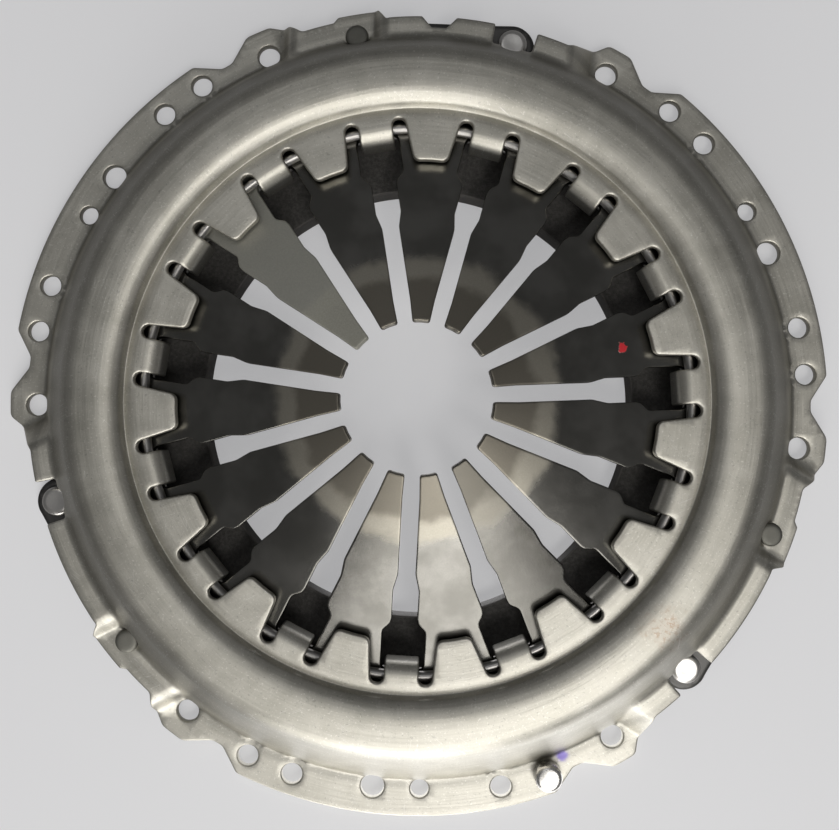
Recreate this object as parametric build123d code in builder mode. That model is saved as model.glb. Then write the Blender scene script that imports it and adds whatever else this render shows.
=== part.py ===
from build123d import *
import os
from math import asin, atan, cos, degrees, hypot, radians, sin, tan

# A clutch pressure plate assembly: pressed cover, diaphragm spring, cast plate and strap drive.
# Millimetres and degrees. +Z runs from the flywheel towards the release bearing. The origin is the
# centre of the cover's flange face. Angles run anticlockwise from +Y, the middle of the first strap.

# ---- layout ----
sector_count = 3
sector_angle = 360 / sector_count
finger_count = 15
finger_pitch = 360 / finger_count
half_pitch = finger_pitch / 2

# ---- pressed cover ----
sheet = 4.0
flange_width = 14.3
wall_run = 22.6158
crown_height = 44.5
crown_fall = 0.7
crown_rise = 0.3
recess_depth = 7.5
step_radius = 108.8
step_wall = 2.9
step_run = 1.7
shoulder_round = 18.0
crown_share = 0.8
foot_round = 3.0

# ---- cover outline: flange at the bolting face ----
flange_radius = 160.8
notch_depth = 6.7
long_section_start = 37.1
notch_outer_angle = 33.6
notch_inner_angle = 32.0
ear_outer_angle = 28.4
ear_inner_angle = 24.9
ear_slope_inset = 4.2
ear_slope_angle = 22.2
outline_round = 1.2

# ---- cover outline: raised strap sections ----
neck_inset = 8.8
neck_start_angle = 20.6
neck_end_angle = 15.8
pad_inset = 7.1
pad_start_angle = 15.0
pad_end_angle = 9.0
bridge_inset = 11.8
bridge_start_angle = 8.0
window_start_angle = -8.4
window_end_angle = -14.8
window_depth = 19.4
land_inset = 11.5
land_end_angle = -19.6
land_slope_angle = -23.6
vee_inset = 16.2
vee_top_angle = 2.6
vee_floor_angle = 1.1

# ---- raised strap sections, seen along the radius ----
pad_height = 7.5
bridge_height = 13.0
pad_ramp_angles = (23.3, 21.6)
bridge_ramp_angles = (9.0, 7.3)
exit_ramp_angles = (-19.3, -23.3)
bend_round = 1.5
strap_section_inner = 112.0
strap_section_excess = 11.2

# ---- flange holes ----
bolt_circle_inset = 10.8
bolt_angle = 26.5
bolt_hole_diameter = 8.5
long_section_centre = -60.0
middle_hole_offset = 3.5
middle_hole_diameter = 9.0
dowel_hole_diameter = 7.0
balance_circle_inset = 8.3
balance_hole_offsets = (15.5, 22.5)
balance_hole_diameter = 8.0
spot_diameter = 13.4
spot_height = 6.0

# ---- inner rim: tongues over the fingers, tabs through the spring ----
tongue_tip_radius = 88.0
tongue_tip_width = 12.4
tongue_corner_round = 2.8
gap_mouth_depth = 6.0
slot_end_radius = 103.3
slot_width = 5.0
tab_width = 12.6
tab_sheet = 3.6
tab_inner_radius = 95.3
tab_bend_round = 5.2
hook_reach = 2.6
hook_bend_round = 1.6

# ---- diaphragm spring ----
spring_sheet = 3.0
cone_angle = 14.0
spring_outer_radius = 127.0
finger_tip_radius = 27.5
finger_slot_width = 6.1
finger_slot_end = 63.0
relief_width = 9.2
relief_start = 69.0
relief_end = 81.5
window_width = 15.8
window_start = 84.0
window_round = 2.6
tab_clearance = 1.0
slot_mouth_depth = 3.0

# ---- fulcrum rings ----
wire_diameter = 4.0
wire_sides = 8
seat_gap = 0.05
ring_gap = 0.3

# ---- pressure plate ----
plate_inner_radius = 82.5
plate_edge_inset = 24.8
plate_rim_height = 6.0
plate_shoulder_width = 5.0
plate_thickness = 12.5
plate_protrusion = 3.0
plate_chamfer = 1.0
ridge_radius = 124.0
ridge_crown_width = 2.4
ridge_shoulder_width = 6.0
ridge_shoulder_drop = 1.8
ridge_base_width = 12.0
ridge_gap = 0.25
vent_count = 12
vent_width = 9.0
vent_floor = 3.0

# ---- strap drive ----
cover_rivet_inset = 16.3
cover_rivet_angle = 12.7
plate_rivet_inset = 14.6
plate_rivet_angle = -11.5
leaf_count = 3
leaf_thickness = 0.8
strap_width = 16.0
strap_flat = 9.0
strap_clearance = 1.2
strap_bend_round = 12.0
lug_height = 4.0
lug_floor = 1.5
lug_round = 9.0
lug_root_width = 30.0
lug_root_depth = 8.0

# ---- rivets ----
cover_shank_diameter = 7.0
cover_head_diameter = 9.0
cover_head_height = 2.4
cover_foot_diameter = 11.5
cover_foot_height = 2.4
plate_shank_diameter = 8.0
plate_head_diameter = 11.4
plate_head_height = 3.0
plate_foot_diameter = 11.0
plate_foot_height = 2.0
rivet_clearance = 0.05
head_clearance = 0.5
lift_clearance = 0.9
head_spot_height = 4.0
head_chamfer = 0.6
balance_rivet_sector = 1
balance_head_diameter = 10.5
balance_head_height = 8.5

# ---- radii that follow the flange, and heights that follow the crown ----
foot_radius = flange_radius - flange_width
notch_radius = flange_radius - notch_depth
ear_slope_radius = flange_radius - ear_slope_inset
neck_radius = flange_radius - neck_inset
pad_radius = flange_radius - pad_inset
bridge_radius = flange_radius - bridge_inset
window_radius = flange_radius - window_depth
land_radius = flange_radius - land_inset
vee_radius = flange_radius - vee_inset
bolt_circle_radius = flange_radius - bolt_circle_inset
balance_circle_radius = flange_radius - balance_circle_inset
ramp_radius = bolt_circle_radius
strap_section_depth = flange_radius + strap_section_excess - strap_section_inner
plate_outer_radius = flange_radius - plate_edge_inset
plate_shoulder_radius = plate_outer_radius - plate_shoulder_width
cover_rivet_radius = flange_radius - cover_rivet_inset
plate_rivet_radius = flange_radius - plate_rivet_inset
lug_root_radius = plate_outer_radius - lug_root_depth
crown_inner_height = crown_height - crown_fall
recess_height = crown_height - recess_depth
wall_lean = degrees(atan(wall_run / (crown_height + crown_rise - sheet)))

# ---- values that follow from the above ----
lean_slope = tan(radians(wall_lean))
wall_thickness = sheet / cos(radians(wall_lean))
cavity_foot = foot_radius + sheet * lean_slope - wall_thickness
crown_corner_height = crown_height - sheet + crown_rise
cavity_height = bridge_height + 2 * sheet
cone_slope = tan(radians(cone_angle))
cone_cos = cos(radians(cone_angle))
tab_outer_radius = tab_inner_radius + tab_sheet
tab_root_radius = slot_end_radius - slot_width / 2
fulcrum_radius = tab_outer_radius + ring_gap + wire_diameter / 2
ring_rise = (spring_sheet + wire_diameter) / 2 / cone_cos + seat_gap
upper_ring_height = recess_height - sheet - seat_gap - wire_diameter / 2
fulcrum_height = upper_ring_height - ring_rise
lower_ring_height = fulcrum_height - ring_rise
hook_top = lower_ring_height - wire_diameter / 2 - seat_gap
hook_end_radius = fulcrum_radius + hook_reach
window_end = tab_outer_radius + tab_clearance
plate_face = -plate_protrusion
plate_top = plate_face + plate_thickness
ridge_top = (
    fulcrum_height
    - (ridge_radius + ridge_crown_width / 2 - fulcrum_radius) * cone_slope
    - spring_sheet / 2 / cone_cos
    - ridge_gap
)
lug_seat = plate_face + lug_floor + lug_height
pack_thickness = leaf_count * leaf_thickness
clear = 1.0

# The gap between two tongues, symmetric about its tab, and the slots at its outer corners.
slot_centre_radius = slot_end_radius - slot_width / 2
slot_offset = (tab_width + slot_width) / 2
tongue_tip_offset = tongue_tip_radius * sin(
    radians(half_pitch - degrees(asin(tongue_tip_width / 2 / tongue_tip_radius)))
)
gap_mouth_radius = tongue_tip_radius - gap_mouth_depth
gap_corners = [
    (-slot_offset - slot_width / 2, slot_centre_radius),
    (-tongue_tip_offset, tongue_tip_radius),
    (-tongue_tip_offset, gap_mouth_radius),
    (tongue_tip_offset, gap_mouth_radius),
    (tongue_tip_offset, tongue_tip_radius),
    (slot_offset + slot_width / 2, slot_centre_radius),
]
inner_corner_limit = (tongue_tip_radius + slot_centre_radius) / 2


def polar(radius, angle):
    """Point at a radius and an angle anticlockwise from +Y."""
    return (-radius * sin(radians(angle)), radius * cos(radians(angle)))


def across(angle, radius=ramp_radius):
    """Distance from a strap section's centre line to a point at an angle."""
    return radius * sin(radians(angle))


def radial_plane(angle, distance=0.0):
    """Plane that faces outwards at an angle: local X runs anticlockwise and local Y is up."""
    x, y = polar(1.0, angle)
    return Plane(origin=(x * distance, y * distance, 0), x_dir=(-y, x, 0), z_dir=(x, y, 0))


def section_plane(angle):
    """Plane through the axis at an angle: local X is the radius and local Y is up."""
    x, y = polar(1.0, angle)
    return Plane(origin=(0, 0, 0), x_dir=(x, y, 0), z_dir=(y, -x, 0))


def flat_plane(angle, height):
    """Level plane at a height: local Y points outwards at an angle."""
    x, y = polar(1.0, angle)
    return Plane(origin=(0, 0, height), x_dir=(y, -x, 0), z_dir=(0, 0, 1))


def join_corners(corners):
    """Close a ring of polar corners, with an arc where the radius stays and a line where it changes."""
    first_radius, first_angle = corners[0]
    ring = corners + [(first_radius, first_angle - 360)]
    for (start_radius, start), (end_radius, end) in zip(ring, ring[1:]):
        if start_radius == end_radius:
            middle = polar(start_radius, (start + end) / 2)
            ThreePointArc(polar(start_radius, start), middle, polar(end_radius, end))
        else:
            Line(polar(start_radius, start), polar(end_radius, end))


sector_angles = [-sector_angle * index for index in range(sector_count)]
lug_angles = [plate_rivet_angle + turn for turn in sector_angles]
lug_places = [polar(plate_rivet_radius, angle) for angle in lug_angles]
rivet_places = [polar(cover_rivet_radius, cover_rivet_angle + turn) for turn in sector_angles]
vent_angles = [360 / vent_count * index for index in range(vent_count)]
bottom = (Align.CENTER, Align.CENTER, Align.MIN)
top = (Align.CENTER, Align.CENTER, Align.MAX)
tab_angles = [half_pitch + finger_pitch * index for index in range(finger_count)]


def outline_corners():
    """Corners of the cover's outer edge, clockwise through each ear, strap section and ear."""
    corners = []
    for index, turn in enumerate(sector_angles):
        vee = [
            (bridge_radius, vee_top_angle),
            (vee_radius, vee_floor_angle),
            (vee_radius, -vee_floor_angle),
            (bridge_radius, -vee_top_angle),
        ]
        sector = [
            (flange_radius, long_section_start),
            (notch_radius, notch_outer_angle),
            (notch_radius, notch_inner_angle),
            (flange_radius, ear_outer_angle),
            (flange_radius, ear_inner_angle),
            (ear_slope_radius, ear_slope_angle),
            (neck_radius, neck_start_angle),
            (neck_radius, neck_end_angle),
            (pad_radius, pad_start_angle),
            (pad_radius, pad_end_angle),
            (bridge_radius, bridge_start_angle),
            *(vee if index == 0 else []),
            (bridge_radius, window_start_angle),
            (window_radius, window_start_angle),
            (window_radius, window_end_angle),
            (land_radius, window_end_angle),
            (land_radius, land_end_angle),
            (ear_slope_radius, land_slope_angle),
            (flange_radius, -ear_inner_angle),
            (flange_radius, -ear_outer_angle),
            (notch_radius, -notch_inner_angle),
            (notch_radius, -notch_outer_angle),
            (flange_radius, -long_section_start),
        ]
        corners += [(radius, angle + turn) for radius, angle in sector]
    return corners


# Holes of the flange as radius, angle and diameter.
flange_holes = [
    (bolt_circle_radius, bolt_angle, bolt_hole_diameter),
    (bolt_circle_radius, -bolt_angle, bolt_hole_diameter),
    (bolt_circle_radius, long_section_centre - middle_hole_offset, middle_hole_diameter),
    (bolt_circle_radius, long_section_centre + middle_hole_offset, dowel_hole_diameter),
]
balance_angles = [
    long_section_centre + side * offset_angle for side in (-1, 1) for offset_angle in balance_hole_offsets
]
flange_holes += [(balance_circle_radius, angle, balance_hole_diameter) for angle in balance_angles]
spotted_angles = [angle for angle in balance_angles if angle != max(balance_angles)]

strap_top_planes = []
for plate_end, cover_end in zip(lug_places, rivet_places):
    strap_run = Vector(*cover_end) - Vector(*plate_end)
    strap_length = strap_run.length
    middle = (Vector(*cover_end) + Vector(*plate_end)) / 2
    strap_top_planes.append(Plane(origin=middle + (0, 0, lug_seat), x_dir=strap_run, z_dir=(0, 0, 1)))

# Both sides of the pressing along the radius, from the tongue tips out to the flange. The step
# round the recess is coined, so its corners are sharp.
cover_under = [
    (tongue_tip_radius, recess_height - sheet),
    (step_radius, recess_height - sheet),
    (step_radius + step_run, crown_inner_height - sheet),
    (cavity_foot - crown_corner_height * lean_slope, crown_corner_height),
    (cavity_foot, 0),
    (flange_radius + clear, 0),
]
cover_over = [
    (tongue_tip_radius, recess_height),
    (step_radius - step_wall, recess_height),
    (step_radius - step_wall + step_run, crown_inner_height),
    (foot_radius - crown_corner_height * lean_slope, crown_corner_height + sheet),
    (foot_radius, sheet),
    (flange_radius + clear, sheet),
]
crown_flat = cover_under[3][0] - cover_under[2][0]
shoulder_limit = crown_share * crown_flat / tan(radians((90 - wall_lean) / 2))
shoulder = min(shoulder_round, shoulder_limit + sheet)
under_bends = [shoulder - sheet, foot_round + sheet]
over_bends = [shoulder, foot_round]
step_corners = 3

# Underside of one strap section, from the ear at its clockwise end over the bridge and the pad to
# the other ear.
strap_path = [
    (across(exit_ramp_angles[1]) - sheet, 0),
    (across(exit_ramp_angles[1]), 0),
    (across(exit_ramp_angles[0]), bridge_height),
    (across(bridge_ramp_angles[1]), bridge_height),
    (across(bridge_ramp_angles[0]), pad_height),
    (across(pad_ramp_angles[1]), pad_height),
    (across(pad_ramp_angles[0]), 0),
    (across(pad_ramp_angles[0]) + sheet, 0),
]
outer_bend = bend_round + sheet
strap_bends = [outer_bend, bend_round, bend_round, outer_bend, bend_round, outer_bend]
strap_planes = [radial_plane(turn, strap_section_inner) for turn in sector_angles]

# ---- cover: one pressing with its tongues and tabs ----
with BuildPart() as cover:
    with BuildSketch(Plane.XZ):
        with BuildLine():
            under_step = Polyline(*cover_under[:step_corners])
            over_step = Polyline(*cover_over[:step_corners])
            under = FilletPolyline(*cover_under[step_corners - 1:], radius=under_bends)
            over = FilletPolyline(*cover_over[step_corners - 1:], radius=over_bends)
            Line(under_step @ 0, over_step @ 0)
            Line(under @ 1, over @ 1)
        make_face()
    revolve(axis=Axis.Z)

    # The strap sections are lifted off the flange, over the lugs and straps.
    with BuildSketch(*strap_planes):
        with BuildLine():
            lower = FilletPolyline(*strap_path, radius=strap_bends)
            Polyline(lower @ 1, (lower @ 1) + (0, -clear), (lower @ 0) + (0, -clear), lower @ 0)
        make_face()
    extrude(amount=strap_section_depth, mode=Mode.SUBTRACT)
    with BuildSketch(*strap_planes):
        with BuildLine():
            FilletPolyline(*strap_path, radius=strap_bends)
            offset(amount=sheet, side=Side.LEFT)
        make_face()
    extrude(amount=strap_section_depth)
    with BuildSketch(Plane.XZ):
        with BuildLine():
            Polyline(
                (tongue_tip_radius, -clear),
                (cavity_foot + clear * lean_slope, -clear),
                (cavity_foot - cavity_height * lean_slope, cavity_height),
                (tongue_tip_radius, cavity_height),
                close=True,
            )
        make_face()
    revolve(axis=Axis.Z, mode=Mode.SUBTRACT)

    # Outer edge.
    with BuildSketch(Plane.XY.offset(-clear)) as blank:
        with BuildLine():
            join_corners(outline_corners())
        make_face()
        fillet(blank.vertices(), radius=outline_round)
    extrude(amount=crown_height + 3 * clear, mode=Mode.INTERSECT)

    # Bolt, dowel and balance holes, with room for the rivet heads that meet the wall.
    with BuildSketch(Plane.XY.offset(-clear)):
        for radius, angle, diameter in flange_holes:
            with Locations(*[polar(radius, angle + turn) for turn in sector_angles]):
                Circle(diameter / 2)
    extrude(amount=sheet + 2 * clear, mode=Mode.SUBTRACT)
    with BuildSketch(Plane.XY.offset(sheet)):
        for angle in spotted_angles:
            with Locations(*[polar(balance_circle_radius, angle + turn) for turn in sector_angles]):
                Circle(spot_diameter / 2)
    extrude(amount=spot_height, mode=Mode.SUBTRACT)
    with BuildSketch(Plane.XY.offset(pad_height + sheet)):
        with Locations(*rivet_places):
            Circle(cover_head_diameter / 2 + head_clearance)
    extrude(amount=head_spot_height, mode=Mode.SUBTRACT)
    with BuildSketch(Plane.XY.offset(bridge_height - clear)):
        with Locations(*lug_places):
            Circle(plate_head_diameter / 2 + lift_clearance)
    extrude(amount=head_spot_height + 2 * clear, mode=Mode.SUBTRACT)
    with BuildSketch(Plane.XY.offset(pad_height - clear)):
        with Locations(*rivet_places):
            Circle(cover_shank_diameter / 2 + rivet_clearance)
    extrude(amount=sheet + 2 * clear, mode=Mode.SUBTRACT)

    # Gaps between the tongues, each with a slot on both sides of its tab.
    with BuildSketch(*[flat_plane(angle, recess_height - sheet - clear) for angle in tab_angles]):
        with BuildLine():
            Polyline(*gap_corners, close=True)
        make_face()
        with Locations((slot_offset, slot_centre_radius), (-slot_offset, slot_centre_radius)):
            Circle(slot_width / 2)
    extrude(amount=sheet + 2 * clear, mode=Mode.SUBTRACT)
    tongue_corners = cover.edges().filter_by(Axis.Z).filter_by_position(
        Axis.Z, recess_height - sheet, recess_height
    )
    fillet(
        [edge for edge in tongue_corners if hypot(edge.center().X, edge.center().Y) < inner_corner_limit],
        radius=tongue_corner_round,
    )

    # Tabs: each turns down through its window in the spring and hooks out under the lower ring.
    with BuildSketch(*[section_plane(angle) for angle in tab_angles]):
        with BuildLine():
            FilletPolyline(
                (hook_end_radius, hook_top),
                (tab_outer_radius, hook_top),
                (tab_outer_radius, recess_height - tab_sheet),
                (tab_root_radius + clear, recess_height - tab_sheet),
                radius=[hook_bend_round, tab_bend_round - tab_sheet],
            )
            offset(amount=tab_sheet, side=Side.LEFT)
        make_face()
    extrude(amount=tab_width / 2, both=True)
cover.part.label = "cover"

# ---- diaphragm spring: a slotted cone whose outer ring is the spring and whose fingers are levers ----
spring_half = spring_sheet / 2
window_corner_limit = (relief_end + window_start) / 2


def cone_point(radius, side):
    """Point on the spring's section: side is 1 for the bearing side and -1 for the plate side."""
    height = fulcrum_height - (radius - fulcrum_radius) * cone_slope
    return (
        radius + side * spring_half * sin(radians(cone_angle)),
        height + side * spring_half * cone_cos,
    )


with BuildPart() as diaphragm_spring:
    with BuildSketch(Plane.XZ):
        with BuildLine():
            Polyline(
                cone_point(finger_tip_radius, 1),
                cone_point(spring_outer_radius, 1),
                cone_point(spring_outer_radius, -1),
                cone_point(finger_tip_radius, -1),
                close=True,
            )
        make_face()
    revolve(axis=Axis.Z)
    slot_half = [
        (finger_slot_width / 2, finger_tip_radius - slot_mouth_depth),
        (finger_slot_width / 2, finger_slot_end),
        (relief_width / 2, relief_start),
        (relief_width / 2, relief_end),
        (window_width / 2, window_start),
        (window_width / 2, window_end),
    ]
    slot_ring = slot_half + [(-x, y) for x, y in reversed(slot_half)]
    with BuildSketch(*[flat_plane(angle, 0) for angle in tab_angles]) as finger_slots:
        with BuildLine():
            Polyline(*slot_ring, close=True)
        make_face()
        fillet(
            [v for v in finger_slots.vertices() if hypot(v.X, v.Y) > window_corner_limit],
            radius=window_round,
        )
    extrude(amount=crown_height + 4 * spring_sheet, mode=Mode.SUBTRACT)
diaphragm_spring.part.label = "diaphragm_spring"

# ---- fulcrum rings: the spring rocks between them ----
with BuildPart() as upper_fulcrum_ring:
    with BuildSketch(Plane.XZ):
        with Locations((fulcrum_radius, upper_ring_height)):
            RegularPolygon(wire_diameter / 2, wire_sides)
    revolve(axis=Axis.Z)
upper_fulcrum_ring.part.label = "upper_fulcrum_ring"

with BuildPart() as lower_fulcrum_ring:
    with BuildSketch(Plane.XZ):
        with Locations((fulcrum_radius, lower_ring_height)):
            RegularPolygon(wire_diameter / 2, wire_sides)
    revolve(axis=Axis.Z)
lower_fulcrum_ring.part.label = "lower_fulcrum_ring"

# ---- pressure plate: iron casting with a fulcrum ridge and three strap lugs ----
with BuildPart() as pressure_plate:
    with BuildSketch(Plane.XZ) as plate_section:
        with BuildLine():
            Polyline(
                (plate_inner_radius, plate_face),
                (plate_outer_radius, plate_face),
                (plate_outer_radius, plate_face + plate_rim_height),
                (plate_shoulder_radius, plate_top),
                (ridge_radius + ridge_base_width / 2, plate_top),
                (ridge_radius + ridge_shoulder_width / 2, ridge_top - ridge_shoulder_drop),
                (ridge_radius + ridge_crown_width / 2, ridge_top),
                (ridge_radius - ridge_crown_width / 2, ridge_top),
                (ridge_radius - ridge_shoulder_width / 2, ridge_top - ridge_shoulder_drop),
                (ridge_radius - ridge_base_width / 2, plate_top),
                (plate_inner_radius, plate_top),
                close=True,
            )
        make_face()
        plate_edges = plate_section.vertices().filter_by_position(
            Axis.X, plate_inner_radius - clear, plate_inner_radius + clear
        )
        chamfer(plate_edges, length=plate_chamfer)
    revolve(axis=Axis.Z)
    with BuildSketch(*[flat_plane(angle, plate_top + vent_floor) for angle in vent_angles]):
        with Locations((0, ridge_radius)):
            Rectangle(vent_width, ridge_base_width)
    extrude(amount=ridge_top, mode=Mode.SUBTRACT)

    # Strap lugs, with a countersunk seat under each rivet.
    with BuildSketch(*[flat_plane(angle, plate_face + lug_floor) for angle in lug_angles]):
        with Locations((0, plate_rivet_radius)):
            Circle(lug_round)
        with Locations((0, lug_root_radius)):
            Rectangle(lug_root_width, clear)
        make_hull()
    extrude(amount=lug_height)
    with BuildSketch(Plane.XY.offset(plate_face)):
        with Locations(*lug_places):
            Circle(plate_shank_diameter / 2 + rivet_clearance)
    extrude(amount=plate_thickness, mode=Mode.SUBTRACT)
    with BuildSketch(Plane.XY.offset(plate_face)):
        with Locations(*lug_places):
            Circle(plate_foot_diameter / 2 + rivet_clearance)
    extrude(amount=lug_floor + plate_foot_height, mode=Mode.SUBTRACT)
    with BuildSketch(*strap_top_planes):
        SlotCenterToCenter(strap_length, strap_width + 2 * strap_clearance)
    extrude(amount=plate_thickness, mode=Mode.SUBTRACT)
pressure_plate.part.label = "pressure_plate"

# ---- strap drive: three packs of leaves from the cover's pads to the plate's lugs ----
straps = []
for index, turn in enumerate(sector_angles):
    plate_end = Vector(*lug_places[index])
    cover_end = Vector(*rivet_places[index])
    run = cover_end - plate_end
    side_plane = Plane(origin=plate_end, x_dir=run, z_dir=run.cross(Vector(0, 0, 1)))
    top_plane = strap_top_planes[index].offset(-lug_seat)
    for layer in range(leaf_count):
        lift = layer * leaf_thickness
        low = lug_seat + lift
        high = pad_height - pack_thickness + lift
        leaf_path = [
            (-strap_width, low),
            (strap_flat, low),
            (run.length - strap_flat, high),
            (run.length + strap_width, high),
        ]
        raised_path = [(x, y + leaf_thickness) for x, y in leaf_path]
        with BuildPart() as leaf:
            with BuildSketch(side_plane):
                with BuildLine():
                    under = FilletPolyline(*leaf_path, radius=strap_bend_round)
                    over = FilletPolyline(*raised_path, radius=strap_bend_round)
                    Line(under @ 0, over @ 0)
                    Line(under @ 1, over @ 1)
                make_face()
            extrude(amount=strap_width / 2, both=True)
            with BuildSketch(top_plane):
                SlotCenterToCenter(run.length, strap_width)
            extrude(amount=bridge_height, mode=Mode.INTERSECT)
            with BuildSketch(top_plane):
                with Locations((-run.length / 2, 0)):
                    Circle(plate_shank_diameter / 2 + rivet_clearance)
                with Locations((run.length / 2, 0)):
                    Circle(cover_shank_diameter / 2 + rivet_clearance)
            extrude(amount=bridge_height, mode=Mode.SUBTRACT)
        leaf.part.label = f"strap_{index + 1}_leaf_{layer + 1}"
        straps.append(leaf.part)

# ---- rivets ----
strap_top = lug_seat + pack_thickness
pad_top = pad_height + sheet
strap_floor = pad_height - pack_thickness
rivets = []
for index in range(sector_count):
    with BuildPart() as cover_rivet:
        with Locations((*rivet_places[index], strap_floor)):
            Cylinder(cover_shank_diameter / 2, pad_top - strap_floor, align=bottom)
            Cylinder(cover_foot_diameter / 2, cover_foot_height, align=top)
        with Locations((*rivet_places[index], pad_top)):
            Cylinder(cover_head_diameter / 2, cover_head_height, align=bottom)
        rims = cover_rivet.edges().filter_by(GeomType.CIRCLE).sort_by(Axis.Z)
        chamfer([rims[0], rims[-1]], length=head_chamfer)
    cover_rivet.part.label = f"cover_rivet_{index + 1}"
    rivets.append(cover_rivet.part)

    lug_bottom = plate_face + lug_floor
    with BuildPart() as plate_rivet:
        with Locations((*lug_places[index], lug_bottom)):
            Cylinder(plate_shank_diameter / 2, strap_top - lug_bottom, align=bottom)
            Cylinder(plate_foot_diameter / 2, plate_foot_height, align=bottom)
        with Locations((*lug_places[index], strap_top)):
            Cylinder(plate_head_diameter / 2, plate_head_height, align=bottom)
        rims = plate_rivet.edges().filter_by(GeomType.CIRCLE).sort_by(Axis.Z)
        chamfer(rims[-1], length=head_chamfer)
    plate_rivet.part.label = f"plate_rivet_{index + 1}"
    rivets.append(plate_rivet.part)

balance_angle = long_section_centre + balance_hole_offsets[1] + sector_angles[balance_rivet_sector]
with BuildPart() as balance_rivet:
    with Locations((*polar(balance_circle_radius, balance_angle), 0)):
        Cylinder(balance_hole_diameter / 2 - rivet_clearance, sheet, align=bottom)
    with Locations((*polar(balance_circle_radius, balance_angle), sheet)):
        Cylinder(balance_head_diameter / 2, balance_head_height, align=bottom)
    rims = balance_rivet.edges().filter_by(GeomType.CIRCLE).sort_by(Axis.Z)
    chamfer(rims[-1], length=head_chamfer)
balance_rivet.part.label = "balance_rivet"

# ---- write one file for each piece ----
os.makedirs("parts", exist_ok=True)
for piece in [
    cover.part,
    diaphragm_spring.part,
    upper_fulcrum_ring.part,
    lower_fulcrum_ring.part,
    pressure_plate.part,
    *straps,
    *rivets,
    balance_rivet.part,
]:
    export_step(piece, f"parts/{piece.label}.step")
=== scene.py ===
"""Visual model of a clutch pressure plate assembly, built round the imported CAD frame."""
from __future__ import annotations

import logging
import math
from dataclasses import dataclass, field
from enum import Enum
from typing import Callable, Sequence

import bpy
import numpy as np
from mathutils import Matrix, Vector
from mathutils.geometry import delaunay_2d_cdt
from mathutils.kdtree import KDTree

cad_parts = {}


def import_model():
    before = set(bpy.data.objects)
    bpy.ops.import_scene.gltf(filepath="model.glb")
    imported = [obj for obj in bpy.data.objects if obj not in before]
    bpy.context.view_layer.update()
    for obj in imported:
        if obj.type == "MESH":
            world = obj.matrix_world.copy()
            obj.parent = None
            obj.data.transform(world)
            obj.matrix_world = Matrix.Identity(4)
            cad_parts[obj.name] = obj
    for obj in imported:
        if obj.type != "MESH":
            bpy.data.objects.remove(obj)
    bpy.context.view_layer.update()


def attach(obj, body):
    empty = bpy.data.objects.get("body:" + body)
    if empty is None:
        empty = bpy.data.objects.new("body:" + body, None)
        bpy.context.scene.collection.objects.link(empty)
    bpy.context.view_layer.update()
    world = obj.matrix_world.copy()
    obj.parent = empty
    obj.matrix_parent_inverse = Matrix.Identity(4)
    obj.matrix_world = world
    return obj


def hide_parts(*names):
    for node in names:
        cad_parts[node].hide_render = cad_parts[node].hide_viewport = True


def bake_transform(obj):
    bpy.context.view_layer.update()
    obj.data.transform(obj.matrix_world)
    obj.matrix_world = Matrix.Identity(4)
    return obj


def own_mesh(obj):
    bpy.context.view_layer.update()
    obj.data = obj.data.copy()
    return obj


LOG = logging.getLogger("clutch")
MM = 0.001
SECTORS = 3
FINGERS = 15
PITCH = 360 / FINGERS
SECTION = 360 / SECTORS

Array = np.ndarray
Pair = tuple[float, float]
Triple = tuple[float, float, float]
Colour = Triple

# radius and angle of the rivets of the first strap section
COVER_RIVET: Pair = (144.5, 12.7)
PLATE_RIVET: Pair = (146.2, -11.5)


class Body(str, Enum):
    """Bodies of the frame that pieces ride on."""

    COVER = "cover_assembly"
    PLATE = "plate_assembly"


# ---------------------------------------------------------------- plane geometry


def polar(radius: float, angle: float) -> Pair:
    """Point at a radius and an angle in degrees, anticlockwise from +Y."""
    turn = math.radians(angle)
    return (-radius * math.sin(turn), radius * math.cos(turn))


def turned(points: Array, angle: float) -> Array:
    """Points drawn about +Y, turned about the axis.

    Args:
        points: places across and along the drawing's own +Y.
        angle: where that +Y goes, in degrees anticlockwise from the row frame's +Y.

    Returns:
        The points in the row frame.
    """
    turn = math.radians(angle)
    across = np.array([math.cos(turn), math.sin(turn)])
    out = np.array([-math.sin(turn), math.cos(turn)])
    return points[:, :1] * across + points[:, 1:2] * out


def seat(place: Pair, turn: float) -> Array:
    """Point of a strap section that is turned from the first one."""
    return np.array(polar(place[0], place[1] + turn))


def folded(angles: Array, pitch: float) -> Array:
    """Angles measured from the nearest multiple of a pitch."""
    return angles - pitch * np.round(angles / pitch)


def bearing(points: Array) -> Array:
    """Angles of some points in degrees, anticlockwise from +Y."""
    return np.degrees(np.arctan2(-points[:, 0], points[:, 1]))


def mirrored(side: Sequence[Pair]) -> Array:
    """A line of points followed by its mirror image across the Y axis, run backwards."""
    return np.array([*side, *[(-x, y) for x, y in reversed(side)]])


def thinned(marks: Array, gap: float) -> list[float]:
    """Some marks in order, without those within a gap of the last one kept.

    Args:
        marks: the marks, from low to high.
        gap: least distance between two that are kept.

    Returns:
        The marks that are kept.
    """
    kept = [marks[0]]
    for mark in marks[1:]:
        if mark - kept[-1] > gap:
            kept.append(mark)
    return kept


def arc(radius: float, start: float, end: float, step: float = 1.0) -> list[Pair]:
    """Points along a circle about the axis.

    Args:
        radius: radius in millimetres.
        start: first angle in degrees.
        end: last angle in degrees.
        step: longest distance between two points, in millimetres.

    Returns:
        Points from start to end, both ends included.
    """
    count = max(1, math.ceil(abs(math.radians(end - start)) * radius / step))
    return [polar(radius, start + (end - start) * index / count) for index in range(count + 1)]


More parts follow.
